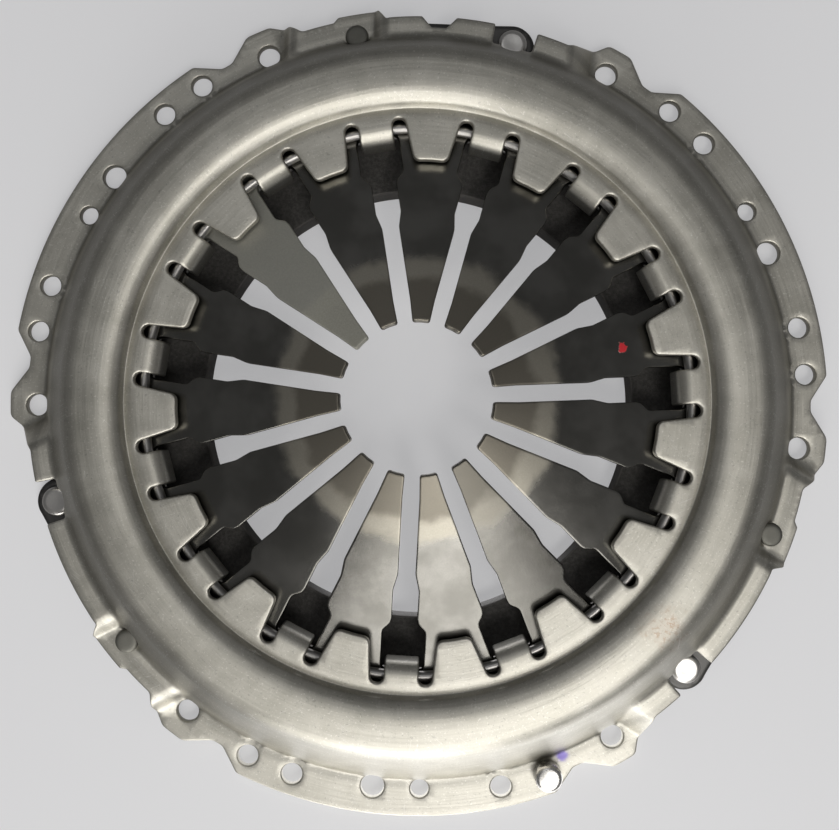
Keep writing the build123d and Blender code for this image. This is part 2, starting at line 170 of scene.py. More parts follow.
def circle(centre: Sequence[float], radius: float, count: int = 28) -> Array:
    """Closed circle of points about a centre.

    Args:
        centre: its middle.
        radius: its radius.
        count: how many points it has.

    Returns:
        The points, without a repeated end.
    """
    turns = np.linspace(0, 2 * math.pi, count, endpoint=False)
    return np.array(centre) + radius * np.column_stack([np.cos(turns), np.sin(turns)])


SLIGHT_TURN = 0.16
ARC_SHARE_CLOSED, ARC_SHARE_OPEN = 0.49, 0.85


def rounded(
    points: Sequence[Sequence[float]],
    radii: float | Sequence[float],
    closed: bool = True,
    fine: float = 0.2,
) -> Array:
    """Line of points whose sharp corners are replaced by arcs.

    Args:
        points: corners of the line.
        radii: one radius for all corners, or one for each.
        closed: whether the last point joins the first.
        fine: largest turn between two points of an arc, in radians.

    Returns:
        The corners and arcs as an array of points.
    """
    line = np.array(points, float)
    count = len(line)
    sizes = [radii] * count if isinstance(radii, (int, float)) else list(radii)
    out: list[Array] = []
    for index in range(count):
        here = line[index]
        if not closed and index in (0, count - 1):
            out.append(here)
            continue
        back, ahead = line[index - 1] - here, line[(index + 1) % count] - here
        reach = min(np.linalg.norm(back), np.linalg.norm(ahead))
        back, ahead = back / np.linalg.norm(back), ahead / np.linalg.norm(ahead)
        opening = math.acos(float(np.clip(back @ ahead, -1, 1)))
        bend = math.pi - opening
        if bend < SLIGHT_TURN or sizes[index] <= 0:
            out.append(here)
            continue
        share = ARC_SHARE_CLOSED if closed else ARC_SHARE_OPEN
        run = min(sizes[index] / math.tan(opening / 2), share * reach)
        size = run * math.tan(opening / 2)
        middle = (back + ahead) / np.linalg.norm(back + ahead)
        centre = here + middle * size / math.sin(opening / 2)
        first = here + back * run - centre
        sign = 1.0 if first[0] * (here - centre)[1] - first[1] * (here - centre)[0] > 0 else -1.0
        steps = max(2, math.ceil(bend / fine))
        for part in range(steps + 1):
            turn = sign * bend * part / steps
            cos, sin = math.cos(turn), math.sin(turn)
            out.append(centre + np.array([first[0] * cos - first[1] * sin, first[0] * sin + first[1] * cos]))
    return np.array(out)


def divided(line: Array, step: float, closed: bool = True) -> Array:
    """Line with points added so that none of its runs is longer than a step.

    Args:
        line: its points.
        step: longest run between two points.
        closed: whether the last point joins the first.

    Returns:
        The line with its new points.
    """
    ends = np.roll(line, -1, axis=0) if closed else line[1:]
    starts = line if closed else line[:-1]
    out: list[Array] = []
    for start, end in zip(starts, ends):
        count = max(1, math.ceil(float(np.linalg.norm(end - start)) / step))
        out.extend(start + (end - start) * part / count for part in range(count))
    if not closed:
        out.append(line[-1])
    return np.array(out)


def encloses(loop: Array, points: Array) -> Array:
    """Which of the points lie inside a closed loop, by counting crossings.

    Args:
        loop: the loop's points.
        points: the points that are asked about.

    Returns:
        True for each point that lies inside.
    """
    order = np.argsort(points[:, 1])
    xs, ys = points[order, 0], points[order, 1]
    odd = np.zeros(len(points), bool)
    for (x1, y1), (x2, y2) in zip(loop, np.roll(loop, -1, axis=0)):
        if y1 == y2:
            continue
        low, high = np.searchsorted(ys, [min(y1, y2), max(y1, y2)])
        crossing = x1 + (ys[low:high] - y1) * (x2 - x1) / (y2 - y1)
        odd[low:high] ^= xs[low:high] < crossing
    result = np.zeros(len(points), bool)
    result[order] = odd
    return result


def smooth_max(first: Array, second: Array, reach: Array) -> Array:
    """The larger of two heights, with a fillet where they cross.

    Args:
        first: one height of each point.
        second: the other height.
        reach: about how far the fillet reaches, at each point.

    Returns:
        The blended heights.
    """
    blend = np.maximum(reach - np.abs(first - second), 0) / np.maximum(reach, 1e-6)
    return np.maximum(first, second) + blend * blend * reach / 4


# ---------------------------------------------------------------- blanks that are pressed to shape

Form = Callable[[Array], tuple[Array, Array]]
TOUCHING = 1e-5
FLAT_AREA = 1e-9


@dataclass
class Blank:
    """A flat outline with holes that is cut into triangles and pressed to shape.

    The sizes are millimetres. Its edges are rolled over by a small radius on both sides.
    """

    outer: Array
    holes: list[Array]
    lattice: Array
    edge: float = 0.5
    run: float = 0.9
    rows: int = 3
    inset_share: float = 0.8
    lattice_share: float = 0.35
    least_run: float = 0.06
    sharpest: float = 0.7

    def _triangles(self, points: Array, edges: Array) -> tuple[Array, Array, list[list[int]]]:
        """Constrained triangles of some points, without those that lie off the blank.

        Args:
            points: the points.
            edges: pairs of points that triangles may not cross.

        Returns:
            Places, triangles, and the points that each place stands for.
        """
        made = delaunay_2d_cdt([Vector(p) for p in points], edges.tolist(), [], 0, TOUCHING)
        places = np.array([tuple(v) for v in made[0]])
        faces = np.array(made[2])
        a, b, c = (places[faces[:, k]] for k in range(3))
        area = (b - a)[:, 0] * (c - a)[:, 1] - (b - a)[:, 1] * (c - a)[:, 0]
        faces[area < 0] = faces[area < 0][:, ::-1]
        faces = faces[np.abs(area) > FLAT_AREA]
        centres = places[faces].mean(axis=1)
        kept = encloses(self.outer, centres)
        for hole in self.holes:
            kept &= ~encloses(hole, centres)
        return places, faces[kept], made[3]

    @staticmethod
    def _rims(faces: Array) -> list[list[int]]:
        """Closed boundary loops of some triangles, with the material on their left.

        Args:
            faces: the triangles.

        Returns:
            The loops of point numbers.
        """
        edges = np.concatenate([faces[:, [0, 1]], faces[:, [1, 2]], faces[:, [2, 0]]])
        there = {(int(a), int(b)) for a, b in edges}
        after = {a: b for a, b in there if (b, a) not in there}
        loops: list[list[int]] = []
        while after:
            first, here = after.popitem()
            loop = [first]
            while here != first:
                loop.append(here)
                here = after.pop(here)
            loops.append(loop)
        return sorted(loops, key=min)

    @staticmethod
    def _edges(loops: list[Array]) -> Array:
        """Pairs of point numbers round some loops whose points follow one another.

        Args:
            loops: the loops.

        Returns:
            The pairs.
        """
        edges, base = [], 0
        for loop in loops:
            ring = np.arange(len(loop)) + base
            edges.append(np.column_stack([ring, np.roll(ring, -1)]))
            base += len(loop)
        return np.concatenate(edges)

    def cut(self) -> tuple[Array, Array, Array, list[list[int]]]:
        """Triangles of the blank.

        Returns:
            Points, each point's depth from the nearest edge, triangles and boundary loops.
        """
        drawn = [divided(loop, self.run) for loop in [self.outer, *self.holes]]
        places, faces, _ = self._triangles(np.concatenate(drawn), self._edges(drawn))
        rims = [self._tidied(places[rim]) for rim in self._rims(faces)]
        edges = self._edges(rims)

        depths = [self.edge * (1 - math.cos(math.pi / 2 * k / self.rows)) for k in range(1, self.rows)]
        tree = KDTree(sum(len(rim) for rim in rims))
        for index, point in enumerate(np.concatenate(rims)):
            tree.insert((*point, 0), index)
        tree.balance()
        layers, levels = [*rims], [np.zeros(len(rim)) for rim in rims]
        for depth in [*depths, self.edge]:
            for rim in rims:
                inset = self._inset(rim, depth)
                clear = np.array([tree.find((*p, 0))[2] > self.inset_share * depth for p in inset])
                layers.append(inset[clear])
                levels.append(np.full(int(clear.sum()), depth))
        margin = self.edge + self.lattice_share * self.run
        clear = np.array([tree.find((*p, 0))[2] > margin for p in self.lattice])
        layers.append(self.lattice[clear])
        levels.append(np.full(int(clear.sum()), self.edge))
        points, levels = np.concatenate(layers), np.concatenate(levels)
        places, faces, sources = self._triangles(points, edges)
        depth = np.array([min((levels[k] for k in origin), default=self.edge) for origin in sources])
        used = np.unique(faces)
        place_of = np.full(len(places), -1)
        place_of[used] = np.arange(len(used))
        faces = place_of[faces]
        return places[used], depth[used], faces, self._rims(faces)

    def _tidied(self, loop: Array) -> Array:
        """A loop without points that nearly coincide."""
        gaps = np.linalg.norm(loop - np.roll(loop, 1, axis=0), axis=1)
        return loop[gaps > self.least_run]

    def _inset(self, loop: Array, depth: float) -> Array:
        """A loop moved into the material on its left.

        Args:
            loop: its points.
            depth: how far it moves.

        Returns:
            The moved points.
        """
        ahead = np.roll(loop, -1, axis=0) - loop
        ahead /= np.linalg.norm(ahead, axis=1)[:, None]
        behind = np.roll(ahead, 1, axis=0)
        along = ahead + behind
        size = np.linalg.norm(along, axis=1)[:, None]
        along /= size
        left = np.column_stack([-along[:, 1], along[:, 0]])
        return loop + left * depth / np.clip(size / 2, self.sharpest, 1)

    def pressed(self, name: str, form: Form) -> bpy.types.Object:
        """Solid sheet whose two sides a form gives.

        Args:
            name: name of the object.
            form: gives the upper and lower place of each blank point, in millimetres.

        Returns:
            The object, linked to the scene.
        """
        points, depth, faces, rims = self.cut()
        upper, lower = form(points)
        through = lower - upper
        through /= np.linalg.norm(through, axis=1)[:, None]
        inward = np.maximum(self.edge - depth, 0)
        roll = self.edge - np.sqrt(np.maximum(self.edge**2 - inward**2, 0))
        upper, lower = upper + through * roll[:, None], lower - through * roll[:, None]
        count = len(points)
        walls: list[tuple[int, ...]] = []
        for rim in rims:
            walls += [(a + count, b + count, b, a) for a, b in zip(rim, rim[1:] + rim[:1])]
        flat = faces.tolist() + (faces[:, ::-1] + count).tolist()
        return solid(name, np.concatenate([upper, lower]), flat + walls)

    def laid(self, name: str, form: Form) -> bpy.types.Object:
        """Sheet without thickness, at the upper side that a form gives."""
        points, _, faces, _ = self.cut()
        return solid(name, form(points)[0], faces.tolist())


def solid(name: str, points: Array, faces: list[Sequence[int]]) -> bpy.types.Object:
    """Smooth-shaded object, linked to the scene.

    Args:
        name: its name, which its mesh takes too.
        points: places in millimetres.
        faces: point numbers of each face.

    Returns:
        The object.
    """
    mesh = bpy.data.meshes.new(name)
    mesh.from_pydata((points * MM).tolist(), [], faces)
    mesh.validate()
    mesh.polygons.foreach_set("use_smooth", [True] * len(mesh.polygons))
    made = bpy.data.objects.new(name, mesh)
    bpy.context.scene.collection.objects.link(made)
    return made


def lathed(profile: Sequence[Pair], count: int = 40) -> tuple[Array, list[tuple[int, ...]]]:
    """Closed solid of revolution about Z.

    Args:
        profile: radius and height from the top of the axis down to its bottom, both ends on the axis.
        count: points around the axis.

    Returns:
        Points and outward faces.
    """
    inner = profile[1:-1]
    turns = np.linspace(0, 2 * math.pi, count, endpoint=False)
    rows = [np.column_stack([r * np.cos(turns), r * np.sin(turns), np.full(count, z)]) for r, z in inner]
    points = np.concatenate([[[0, 0, profile[0][1]]], *rows, [[0, 0, profile[-1][1]]]])
    last = len(points) - 1
    faces: list[tuple[int, ...]] = []
    for k in range(count):
        after = (k + 1) % count
        faces.append((0, 1 + k, 1 + after))
        for row in range(len(inner) - 1):
            a, b = 1 + row * count, 1 + (row + 1) * count
            faces.append((a + k, b + k, b + after, a + after))
        base = 1 + (len(inner) - 1) * count
        faces.append((last, base + after, base + k))
    return points, faces


# ---------------------------------------------------------------- shader expressions


class Wire:
    """A shader socket that takes part in Python expressions; each operator adds its Math node."""

    def __init__(self, bench: "Bench", socket: bpy.types.NodeSocket) -> None:
        """Keep the bench that adds nodes and the socket that gives the value."""
        self.bench, self.socket = bench, socket

    def _with(self, operation: str, *values: "Wire | float") -> "Wire":
        """Result of a Math node."""
        return self.bench.node("ShaderNodeMath", {"operation": operation}, dict(enumerate(values)))

    def __add__(self, other: "Wire | float") -> "Wire":
        """Sum."""
        return self._with("ADD", self, other)

    __radd__ = __add__

    def __sub__(self, other: "Wire | float") -> "Wire":
        """Difference."""
        return self._with("SUBTRACT", self, other)

    def __rsub__(self, other: float) -> "Wire":
        """Difference from a number."""
        return self._with("SUBTRACT", other, self)

    def __mul__(self, other: "Wire | float") -> "Wire":
        """Product."""
        return self._with("MULTIPLY", self, other)

    __rmul__ = __mul__

    def __truediv__(self, other: "Wire | float") -> "Wire":
        """Quotient."""
        return self._with("DIVIDE", self, other)

    def __rtruediv__(self, other: float) -> "Wire":
        """Quotient of a number."""
        return self._with("DIVIDE", other, self)

    def root(self) -> "Wire":
        """Square root."""
        return self._with("SQRT", self)

    def size(self) -> "Wire":
        """Value without its sign."""
        return self._with("ABSOLUTE", self)

    def step(self, low: float, high: float) -> "Wire":
        """Smooth step from 0 to 1.

        Args:
            low: where it is 0; it may be the larger of the two.
            high: where it is 1.

        Returns:
            The wire of the step.
        """
        ends = (low, high, 0.0, 1.0) if low < high else (high, low, 1.0, 0.0)
        inputs = dict(enumerate((self, *ends)))
        return self.bench.node("ShaderNodeMapRange", {"interpolation_type": "SMOOTHSTEP"}, inputs)

    def band(self, start: float, full: float, fade: float, end: float) -> "Wire":
        """Mask that rises from start to full and falls from fade to end."""
        return self.step(start, full) * self.step(end, fade)


class Bench:
    """Builds one material's nodes."""

    def __init__(self, name: str) -> None:
        """Make an empty material with a Principled shader.

        Args:
            name: the material's name.
        """
        self.material = bpy.data.materials.new(name)
        self.material.use_nodes = True
        self.tree = self.material.node_tree
        self.shader = next(n for n in self.tree.nodes if n.type == "BSDF_PRINCIPLED")
        coordinates = self.node("ShaderNodeTexCoord", output="Object")
        millimetres = {0: coordinates, "Scale": 1 / MM}
        self.place = self.node("ShaderNodeVectorMath", {"operation": "SCALE"}, millimetres)
        self.x, self.y, self.z = (
            self.node("ShaderNodeSeparateXYZ", None, {0: self.place}, output=axis) for axis in "XYZ"
        )
        self.radius = (self.x * self.x + self.y * self.y).root()

    def node(
        self,
        kind: str,
        settings: dict[str, object] | None = None,
        inputs: dict[str | int, "Wire | float | tuple"] | None = None,
        output: str | int = 0,
    ) -> Wire:
        """Add a node.

        Args:
            kind: the node's type.
            settings: its properties, which are set first.
            inputs: values or wires for its sockets.
            output: the socket that the result reads.

        Returns:
            The wire of the output.
        """
        made = self.tree.nodes.new(kind)
        for key, value in (settings or {}).items():
            setattr(made, key, value)
        for key, value in (inputs or {}).items():
            if isinstance(value, Wire):
                self.tree.links.new(value.socket, made.inputs[key])
            else:
                made.inputs[key].default_value = value
        return Wire(self, made.outputs[output])

    def noise(self, vector: Wire, scale: float, detail: float = 3.0, rough: float = 0.55) -> Wire:
        """Noise from about 0 to 1 at a place."""
        inputs = {"Vector": vector, "Scale": scale, "Detail": detail, "Roughness": rough}
        return self.node("ShaderNodeTexNoise", None, inputs)

    def stretched(self, x: "Wire | float", y: "Wire | float", z: "Wire | float") -> Wire:
        """Vector from three values."""
        return self.node("ShaderNodeCombineXYZ", None, {0: x, 1: y, 2: z})

    def rings(self, across: float, along: float) -> Wire:
        """Place that changes fast across the radius and slowly round the axis."""
        safe = self.radius + 0.01
        return self.stretched(self.x / safe * along, self.y / safe * along, self.radius * across)

    def mix(self, amount: "Wire | float", first: "Wire | Colour", second: "Wire | Colour") -> Wire:
        """Mix of two colours.

        Args:
            amount: share of the second.
            first: colour at 0.
            second: colour at 1.

        Returns:
            The wire of the mix.
        """
        a, b = (v if isinstance(v, Wire) else (*v, 1.0) for v in (first, second))
        return self.node("ShaderNodeMix", {"data_type": "RGBA"}, {0: amount, 6: a, 7: b}, output=2)

    def coats(self, base: Wire, *layers: "tuple[Wire | float, Colour]") -> Wire:
        """Lay colours over a base, one after another.

        Args:
            base: the colour below them.
            layers: share and colour of each coat.

        Returns:
            The wire of the result.
        """
        for share, tone in layers:
            base = self.mix(share, base, tone)
        return base

    def blot(self, centre: Pair, radius: float, soft: float, warp: Wire) -> Wire:
        """Round mask about a point of the plan.

        Args:
            centre: the point.
            radius: where the mask is a half.
            soft: how far from there it reaches 0 and 1.
            warp: millimetres added to the distance, which make the edge ragged.

        Returns:
            The wire of the mask, 1 inside.
        """
        dx, dy = self.x - centre[0], self.y - centre[1]
        far = (dx * dx + dy * dy).root() + warp
        return far.step(radius + soft, radius - soft)

    def feed(self, **values: "Wire | float | tuple") -> None:
        """Set or link the shader's sockets.

        Args:
            values: values or wires by the name of the socket, with underscores for spaces.
        """
        for key, value in values.items():
            socket = self.shader.inputs[key.replace("_", " ")]
            if isinstance(value, Wire):
                self.tree.links.new(value.socket, socket)
            else:
                socket.default_value = value

    def bumps(self, *layers: tuple[Wire, float]) -> None:
        """Link a chain of bumps.

        Args:
            layers: the height from 0 to 1 of each, and its depth in millimetres.
        """
        normal: Wire | None = None
        for height, depth in layers:
            inputs: dict[str | int, Wire | float]
            inputs = {"Height": height, "Distance": depth * MM, "Strength": 1.0}
            if normal is not None:
                inputs["Normal"] = normal
            normal = self.node("ShaderNodeBump", None, inputs)
        if normal is not None:
            self.feed(Normal=normal)


# ---------------------------------------------------------------- finishes


@dataclass(frozen=True)
class PressedSteel:
    """Bare deep-drawn sheet: satin, with draw marks round the dome, scratches and a few stains; shade is
    painted on the dome wall, in the ring round its foot together with grime, and down the folded tabs.
    """

    light: Colour = (0.61, 0.59, 0.53)
    dark: Colour = (0.41, 0.395, 0.345)
    # painted shade: low is the dark tone laid where shade falls on the dome wall, in the foot ring and on the
    # tabs' lower ends
    low: Colour = (0.16, 0.155, 0.14)
    sparkle: Colour = (0.95, 0.93, 0.88)
    pit: Colour = (0.2, 0.195, 0.18)
    scratch: Colour = (0.74, 0.73, 0.71)
    rust: Colour = (0.33, 0.20, 0.12)
    violet: Colour = (0.16, 0.12, 0.42)
    rust_place: Pair = (92.5, -76.6)
    violet_place: Pair = (63.6, -133.6)
    # radii over which the dome wall's painted shade rises and falls
    wall_shade_band: tuple[float, ...] = (124.0, 129.5, 139.0, 144.0)
    # radii of the ring round the dome's foot, painted shade in the crease together with grime
    foot_shade_band: tuple[float, ...] = (145.5, 147.0, 148.5, 151.0)
    # heights and radii over which the tabs darken downwards, painted shade down in the recess
    tab_shade_heights: Pair = (35.5, 31.5)
    tab_shade_radii: Pair = (108.0, 105.0)

    def material(self) -> bpy.types.Material:
        """Build the material.

        Returns:
            The material.
        """
        b = Bench("pressed_steel")
        cloud = b.noise(b.place, 0.028, 4.0, 0.6)
        patch = b.noise(b.place, 0.11, 5.0, 0.65)
        drawn = b.noise(b.rings(1.1, 5.0), 1.0, 4.0, 0.6)
        fine = b.noise(b.rings(6.0, 30.0), 1.0, 3.0, 0.6)
        rays = b.stretched(b.x / b.radius * 220.0, b.y / b.radius * 220.0, b.radius * 0.12)
        radial = b.noise(rays, 1.0, 2.0)
        grain = b.noise(b.place, 3.0, 3.0, 0.7)
        scratches = self._scratches(b)
        tone = cloud * 0.5 + patch * 0.3 + drawn * 0.25 + fine * 0.12 + radial * 0.08 - 0.13
        # painted shade: the dome wall is darkened in colour, less on the side that faces the window
        window_side = (b.x * 0.3 - b.y * 0.95) / b.radius
        wall_shade = b.radius.band(*self.wall_shade_band) * (0.62 - window_side.step(0.5, 0.95) * 0.5)
        # painted shade and grime: a dark ring in the crease round the foot of the dome
        foot_shade_and_grime = b.radius.band(*self.foot_shade_band) * 0.3
        # painted shade: the tabs darken towards their lower ends, down in the recess
        tab = b.z.step(*self.tab_shade_heights) * b.radius.step(*self.tab_shade_radii) * 0.75
        sparkle = b.noise(b.place, 1.3, 2.0, 0.5).step(0.60, 0.72)
        pits = b.noise(b.place, 1.1, 2.0, 0.5).step(0.37, 0.28)
        ragged = (b.noise(b.place, 0.25, 4.0) - 0.5) * 16.0
        specks = b.noise(b.place, 0.8, 3.0, 0.6).step(0.5, 0.62)
        base = b.coats(
            b.mix(tone.step(0.25, 0.75), self.dark, self.light),
            # painted shade of the dome wall, the foot ring and the tabs
            (wall_shade + foot_shade_and_grime + tab, self.low),
            (sparkle * 0.3, self.sparkle),
            (pits * 0.35, self.pit),
            (scratches * 0.5, self.scratch),
            (b.blot(self.rust_place, 4.0, 7.0, ragged) * (specks * 0.6 + 0.2), self.rust),
            (b.blot(self.violet_place, 2.2, 1.2, ragged * 0.25) * 0.8, self.violet),
        )
        rough = 0.34 + patch * 0.10 + cloud * 0.08 + grain * 0.05 - scratches * 0.06
        b.feed(Base_Color=base, Metallic=1.0, Roughness=rough)
        b.bumps((drawn, 0.06), (fine, 0.012), (grain, 0.016), (scratches, -0.012))
        return b.material

    @staticmethod
    def _scratches(b: Bench) -> Wire:
        """Sparse fine scratches in several directions.

        Args:
            b: the material's bench.

        Returns:
            The wire of their mask.
        """
        total: Wire | None = None
        for angle, scale in ((0.4, 0.07), (1.5, 0.06), (2.5, 0.08)):
            along, across = math.cos(angle), math.sin(angle)
            u = b.x * along + b.y * across
            v = b.y * along - b.x * across
            waver = b.noise(b.place, 0.02, 2.0) * 9.0
            line = b.noise(b.stretched(u * scale, (v + waver) * 4.5, b.z * 0.1 + angle * 7.0), 1.0, 1.0)
            where = b.noise(b.place, 0.05 + scale, 2.0).step(0.5, 0.62)
            mark = line.step(0.68, 0.74) * where
            total = mark if total is None else total + mark
        return total


@dataclass(frozen=True)
class TemperedSteel:
    """Hardened spring steel: dark and finely grained, with straw and brown bands near the tips; one finger is
    painted lighter as sheen and one darker as shade.
    """

    body: Colour = (0.215, 0.209, 0.192)
    shade: Colour = (0.15, 0.146, 0.132)
    straw: Colour = (0.38, 0.356, 0.298)
    brown: Colour = (0.175, 0.16, 0.13)
    # painted sheen: the lighter tone of the one rough finger stands in for the light it catches; its
    # roughness is real
    matte_and_sheen: Colour = (0.52, 0.515, 0.46)
    # painted shade: the dark tone laid on one finger that faces away from the highlight
    finger_shade: Colour = (0.08, 0.078, 0.07)
    grain: Colour = (0.12, 0.115, 0.11)
    red: Colour = (0.62, 0.03, 0.04)
    straw_start: Pair = (54.0, 49.0)
    brown_start: Pair = (46.0, 41.0)
    matte_sheen_angle: float = 48.0
    shaded_finger_angle: float = 216.0
    dot_place: Pair = (73.8, 23.4)

    def material(self) -> bpy.types.Material:
        """Build the material.

        Returns:
            The material.
        """
        b = Bench("spring_steel")
        grain = b.noise(b.place, 1.7, 4.0, 0.7)
        cloud = b.noise(b.place, 0.05, 3.0, 0.6)
        fine = b.noise(b.place, 5.0, 2.0, 0.7)
        edge = b.radius + (b.noise(b.place, 0.09, 3.0) - 0.5) * 9.0
        straw = edge.step(*self.straw_start)
        brown = edge.step(*self.brown_start) * 0.9
        # one finger is rougher, and its colour is painted lighter as sheen
        matte_and_sheen = self._finger(b, self.matte_sheen_angle)
        dot = b.blot(self.dot_place, 1.7, 0.25, (b.noise(b.place, 0.7, 2.0) - 0.5) * 2.6)
        base = b.coats(
            b.mix(cloud.step(0.35, 0.65), self.shade, self.body),
            (straw * 0.9, self.straw),
            (brown, self.brown),
            (matte_and_sheen * 0.85, self.matte_and_sheen),
            # painted shade on one finger
            (self._finger(b, self.shaded_finger_angle) * 0.5, self.finger_shade),
            ((grain - 0.5) * 0.5 + 0.1, self.grain),
            (dot, self.red),
        )
        rough = 0.17 + grain * 0.08 + cloud * 0.05 + straw * 0.16 + brown * 0.02 + matte_and_sheen * 0.36 + dot * 0.1
        b.feed(Base_Color=base, Metallic=1.0 - dot, Roughness=rough)
        b.bumps((grain, 0.014), (fine, 0.006), (fine * matte_and_sheen, 0.02), (dot, 0.12))
        return b.material

    @staticmethod
    def _finger(b: Bench, angle: float) -> Wire:
        """Mask of one finger.

        Args:
            b: the material's bench.
            angle: where the finger points, anticlockwise from +Y.

        Returns:
            The wire of the mask, 1 on the finger.
        """
        out, side = polar(1.0, angle), polar(1.0, angle - 90.0)
        along = b.x * out[0] + b.y * out[1]
        across = (b.x * side[0] + b.y * side[1]).size()
        return (along * math.tan(math.radians(PITCH / 2)) - across).step(-0.2, 0.6)


@dataclass(frozen=True)
class CastIron:
    """Grey iron: rough dark skin above, a turned friction face below."""

    skin: Colour = (0.06, 0.057, 0.053)
    skin_light: Colour = (0.11, 0.105, 0.098)
    turned: Colour = (0.42, 0.41, 0.395)
    turned_dark: Colour = (0.30, 0.29, 0.275)
    bored: Colour = (0.2, 0.19, 0.18)
    face: float = -2.9
    bore: float = 83.4

    def material(self) -> bpy.types.Material:
        """Build the material.

        Returns:
            The material.
        """
        b = Bench("cast_iron")
        rough = b.noise(b.place, 0.9, 4.0, 0.7)
        sand = b.noise(b.place, 2.6, 3.0, 0.7)
        lines = b.noise(b.rings(7.0, 3.0), 1.0, 3.0, 0.6)
        stain = b.noise(b.place, 0.04, 3.0)
        machined = b.z.step(self.face + 0.1, self.face - 0.02)
        bored = b.radius.step(self.bore, self.bore - 0.5) * 0.5
        skin = b.mix(rough.step(0.35, 0.7), self.skin, self.skin_light)
        bright = b.mix(lines * 0.6 + stain * 0.3, self.turned_dark, self.turned)
        base = b.coats(b.mix(machined, skin, bright), (bored, self.bored))
        b.feed(
            Base_Color=base,
            Metallic=machined * 0.55 + 0.4,
            Roughness=0.62 - machined * 0.27 + sand * 0.1,
        )
        skin_height = (rough * 0.7 + sand * 0.3) * (1.0 - machined)
        b.bumps((skin_height, 0.35), (lines * machined, 0.03))
        return b.material


@dataclass(frozen=True)
class PlainMetal:
    """A metal of one tone with fine grain, turned rings where they are wanted, and light stains."""

    name: str
    tone: Colour
    stain: Colour
    gloss: float = 0.35
    grain_size: float = 2.0
    grain_depth: float = 0.02

    def material(self) -> bpy.types.Material:
        """Build the material.

        Returns:
            The material.
        """
        b = Bench(self.name)
        grain = b.noise(b.place, self.grain_size, 3.0, 0.65)
        cloud = b.noise(b.place, 0.12, 3.0, 0.6)
        lines = b.noise(b.stretched(b.x * 0.4, b.y * 0.4, b.z * 9.0), 1.0, 2.0)
        base = b.mix(cloud * 0.6 + grain * 0.35 + lines * 0.1, self.stain, self.tone)
        b.feed(Base_Color=base, Metallic=1.0, Roughness=self.gloss + grain * 0.12)
        b.bumps((grain, self.grain_depth), (lines, 0.006))
        return b.material


@dataclass(frozen=True)
class Paper:
    """Plain pale ground, which also shines on the metal that mirrors it."""

    tone: Colour = (0.42, 0.42, 0.425)
    cloud: Colour = (0.40, 0.40, 0.41)
    glow_colour: Colour = (1.0, 1.0, 1.02)
    glow: float = 0.36
    # painted reflection: strength and direction of a glow that the metal mirrors on the window side
    shine: float = 0.07
    lit_shine: float = 1.6
    lit_way: Pair = (0.17, -0.985)
    lit_start: Pair = (0.72, 0.97)

    def material(self) -> bpy.types.Material:
        """Build the material.

        Returns:
            The material.
        """
        b = Bench("ground")
        cloud = b.noise(b.place, 0.006, 3.0)
        b.feed(Base_Color=b.mix(cloud * 0.3, self.tone, self.cloud), Roughness=0.85)
        seen = b.node("ShaderNodeLightPath", output="Is Camera Ray") * self.glow
        # painted reflection: on the window side the ground glows for glossy rays, a bright patch that the
        # metal mirrors like a lamp
        lit = (b.x * self.lit_way[0] + b.y * self.lit_way[1]) / b.radius
        shine = self.shine + lit.step(*self.lit_start) * self.lit_shine
        seen = seen + b.node("ShaderNodeLightPath", output="Is Glossy Ray") * shine
        b.feed(Emission_Color=(*self.glow_colour, 1.0), Emission_Strength=seen)
        return b.material


# ---------------------------------------------------------------- sub-assemblies


def dressed(piece: bpy.types.Object, material: bpy.types.Material) -> bpy.types.Object:
    """Give a piece one material.

    Args:
        piece: the piece.
        material: its material.

    Returns:
        The same piece.
    """
    piece.data.materials.clear()
    piece.data.materials.append(material)
    return piece


class Sectors:
    """Angles of the three strap sections and the fifteen fingers."""

    @staticmethod
    def straps() -> list[float]:
        """Middle of each strap section."""
        return [-SECTION * index for index in range(SECTORS)]

    @staticmethod
    def tabs() -> list[float]:
        """Middle of each tab, between two fingers."""
        return [PITCH * (index + 0.5) for index in range(FINGERS)]


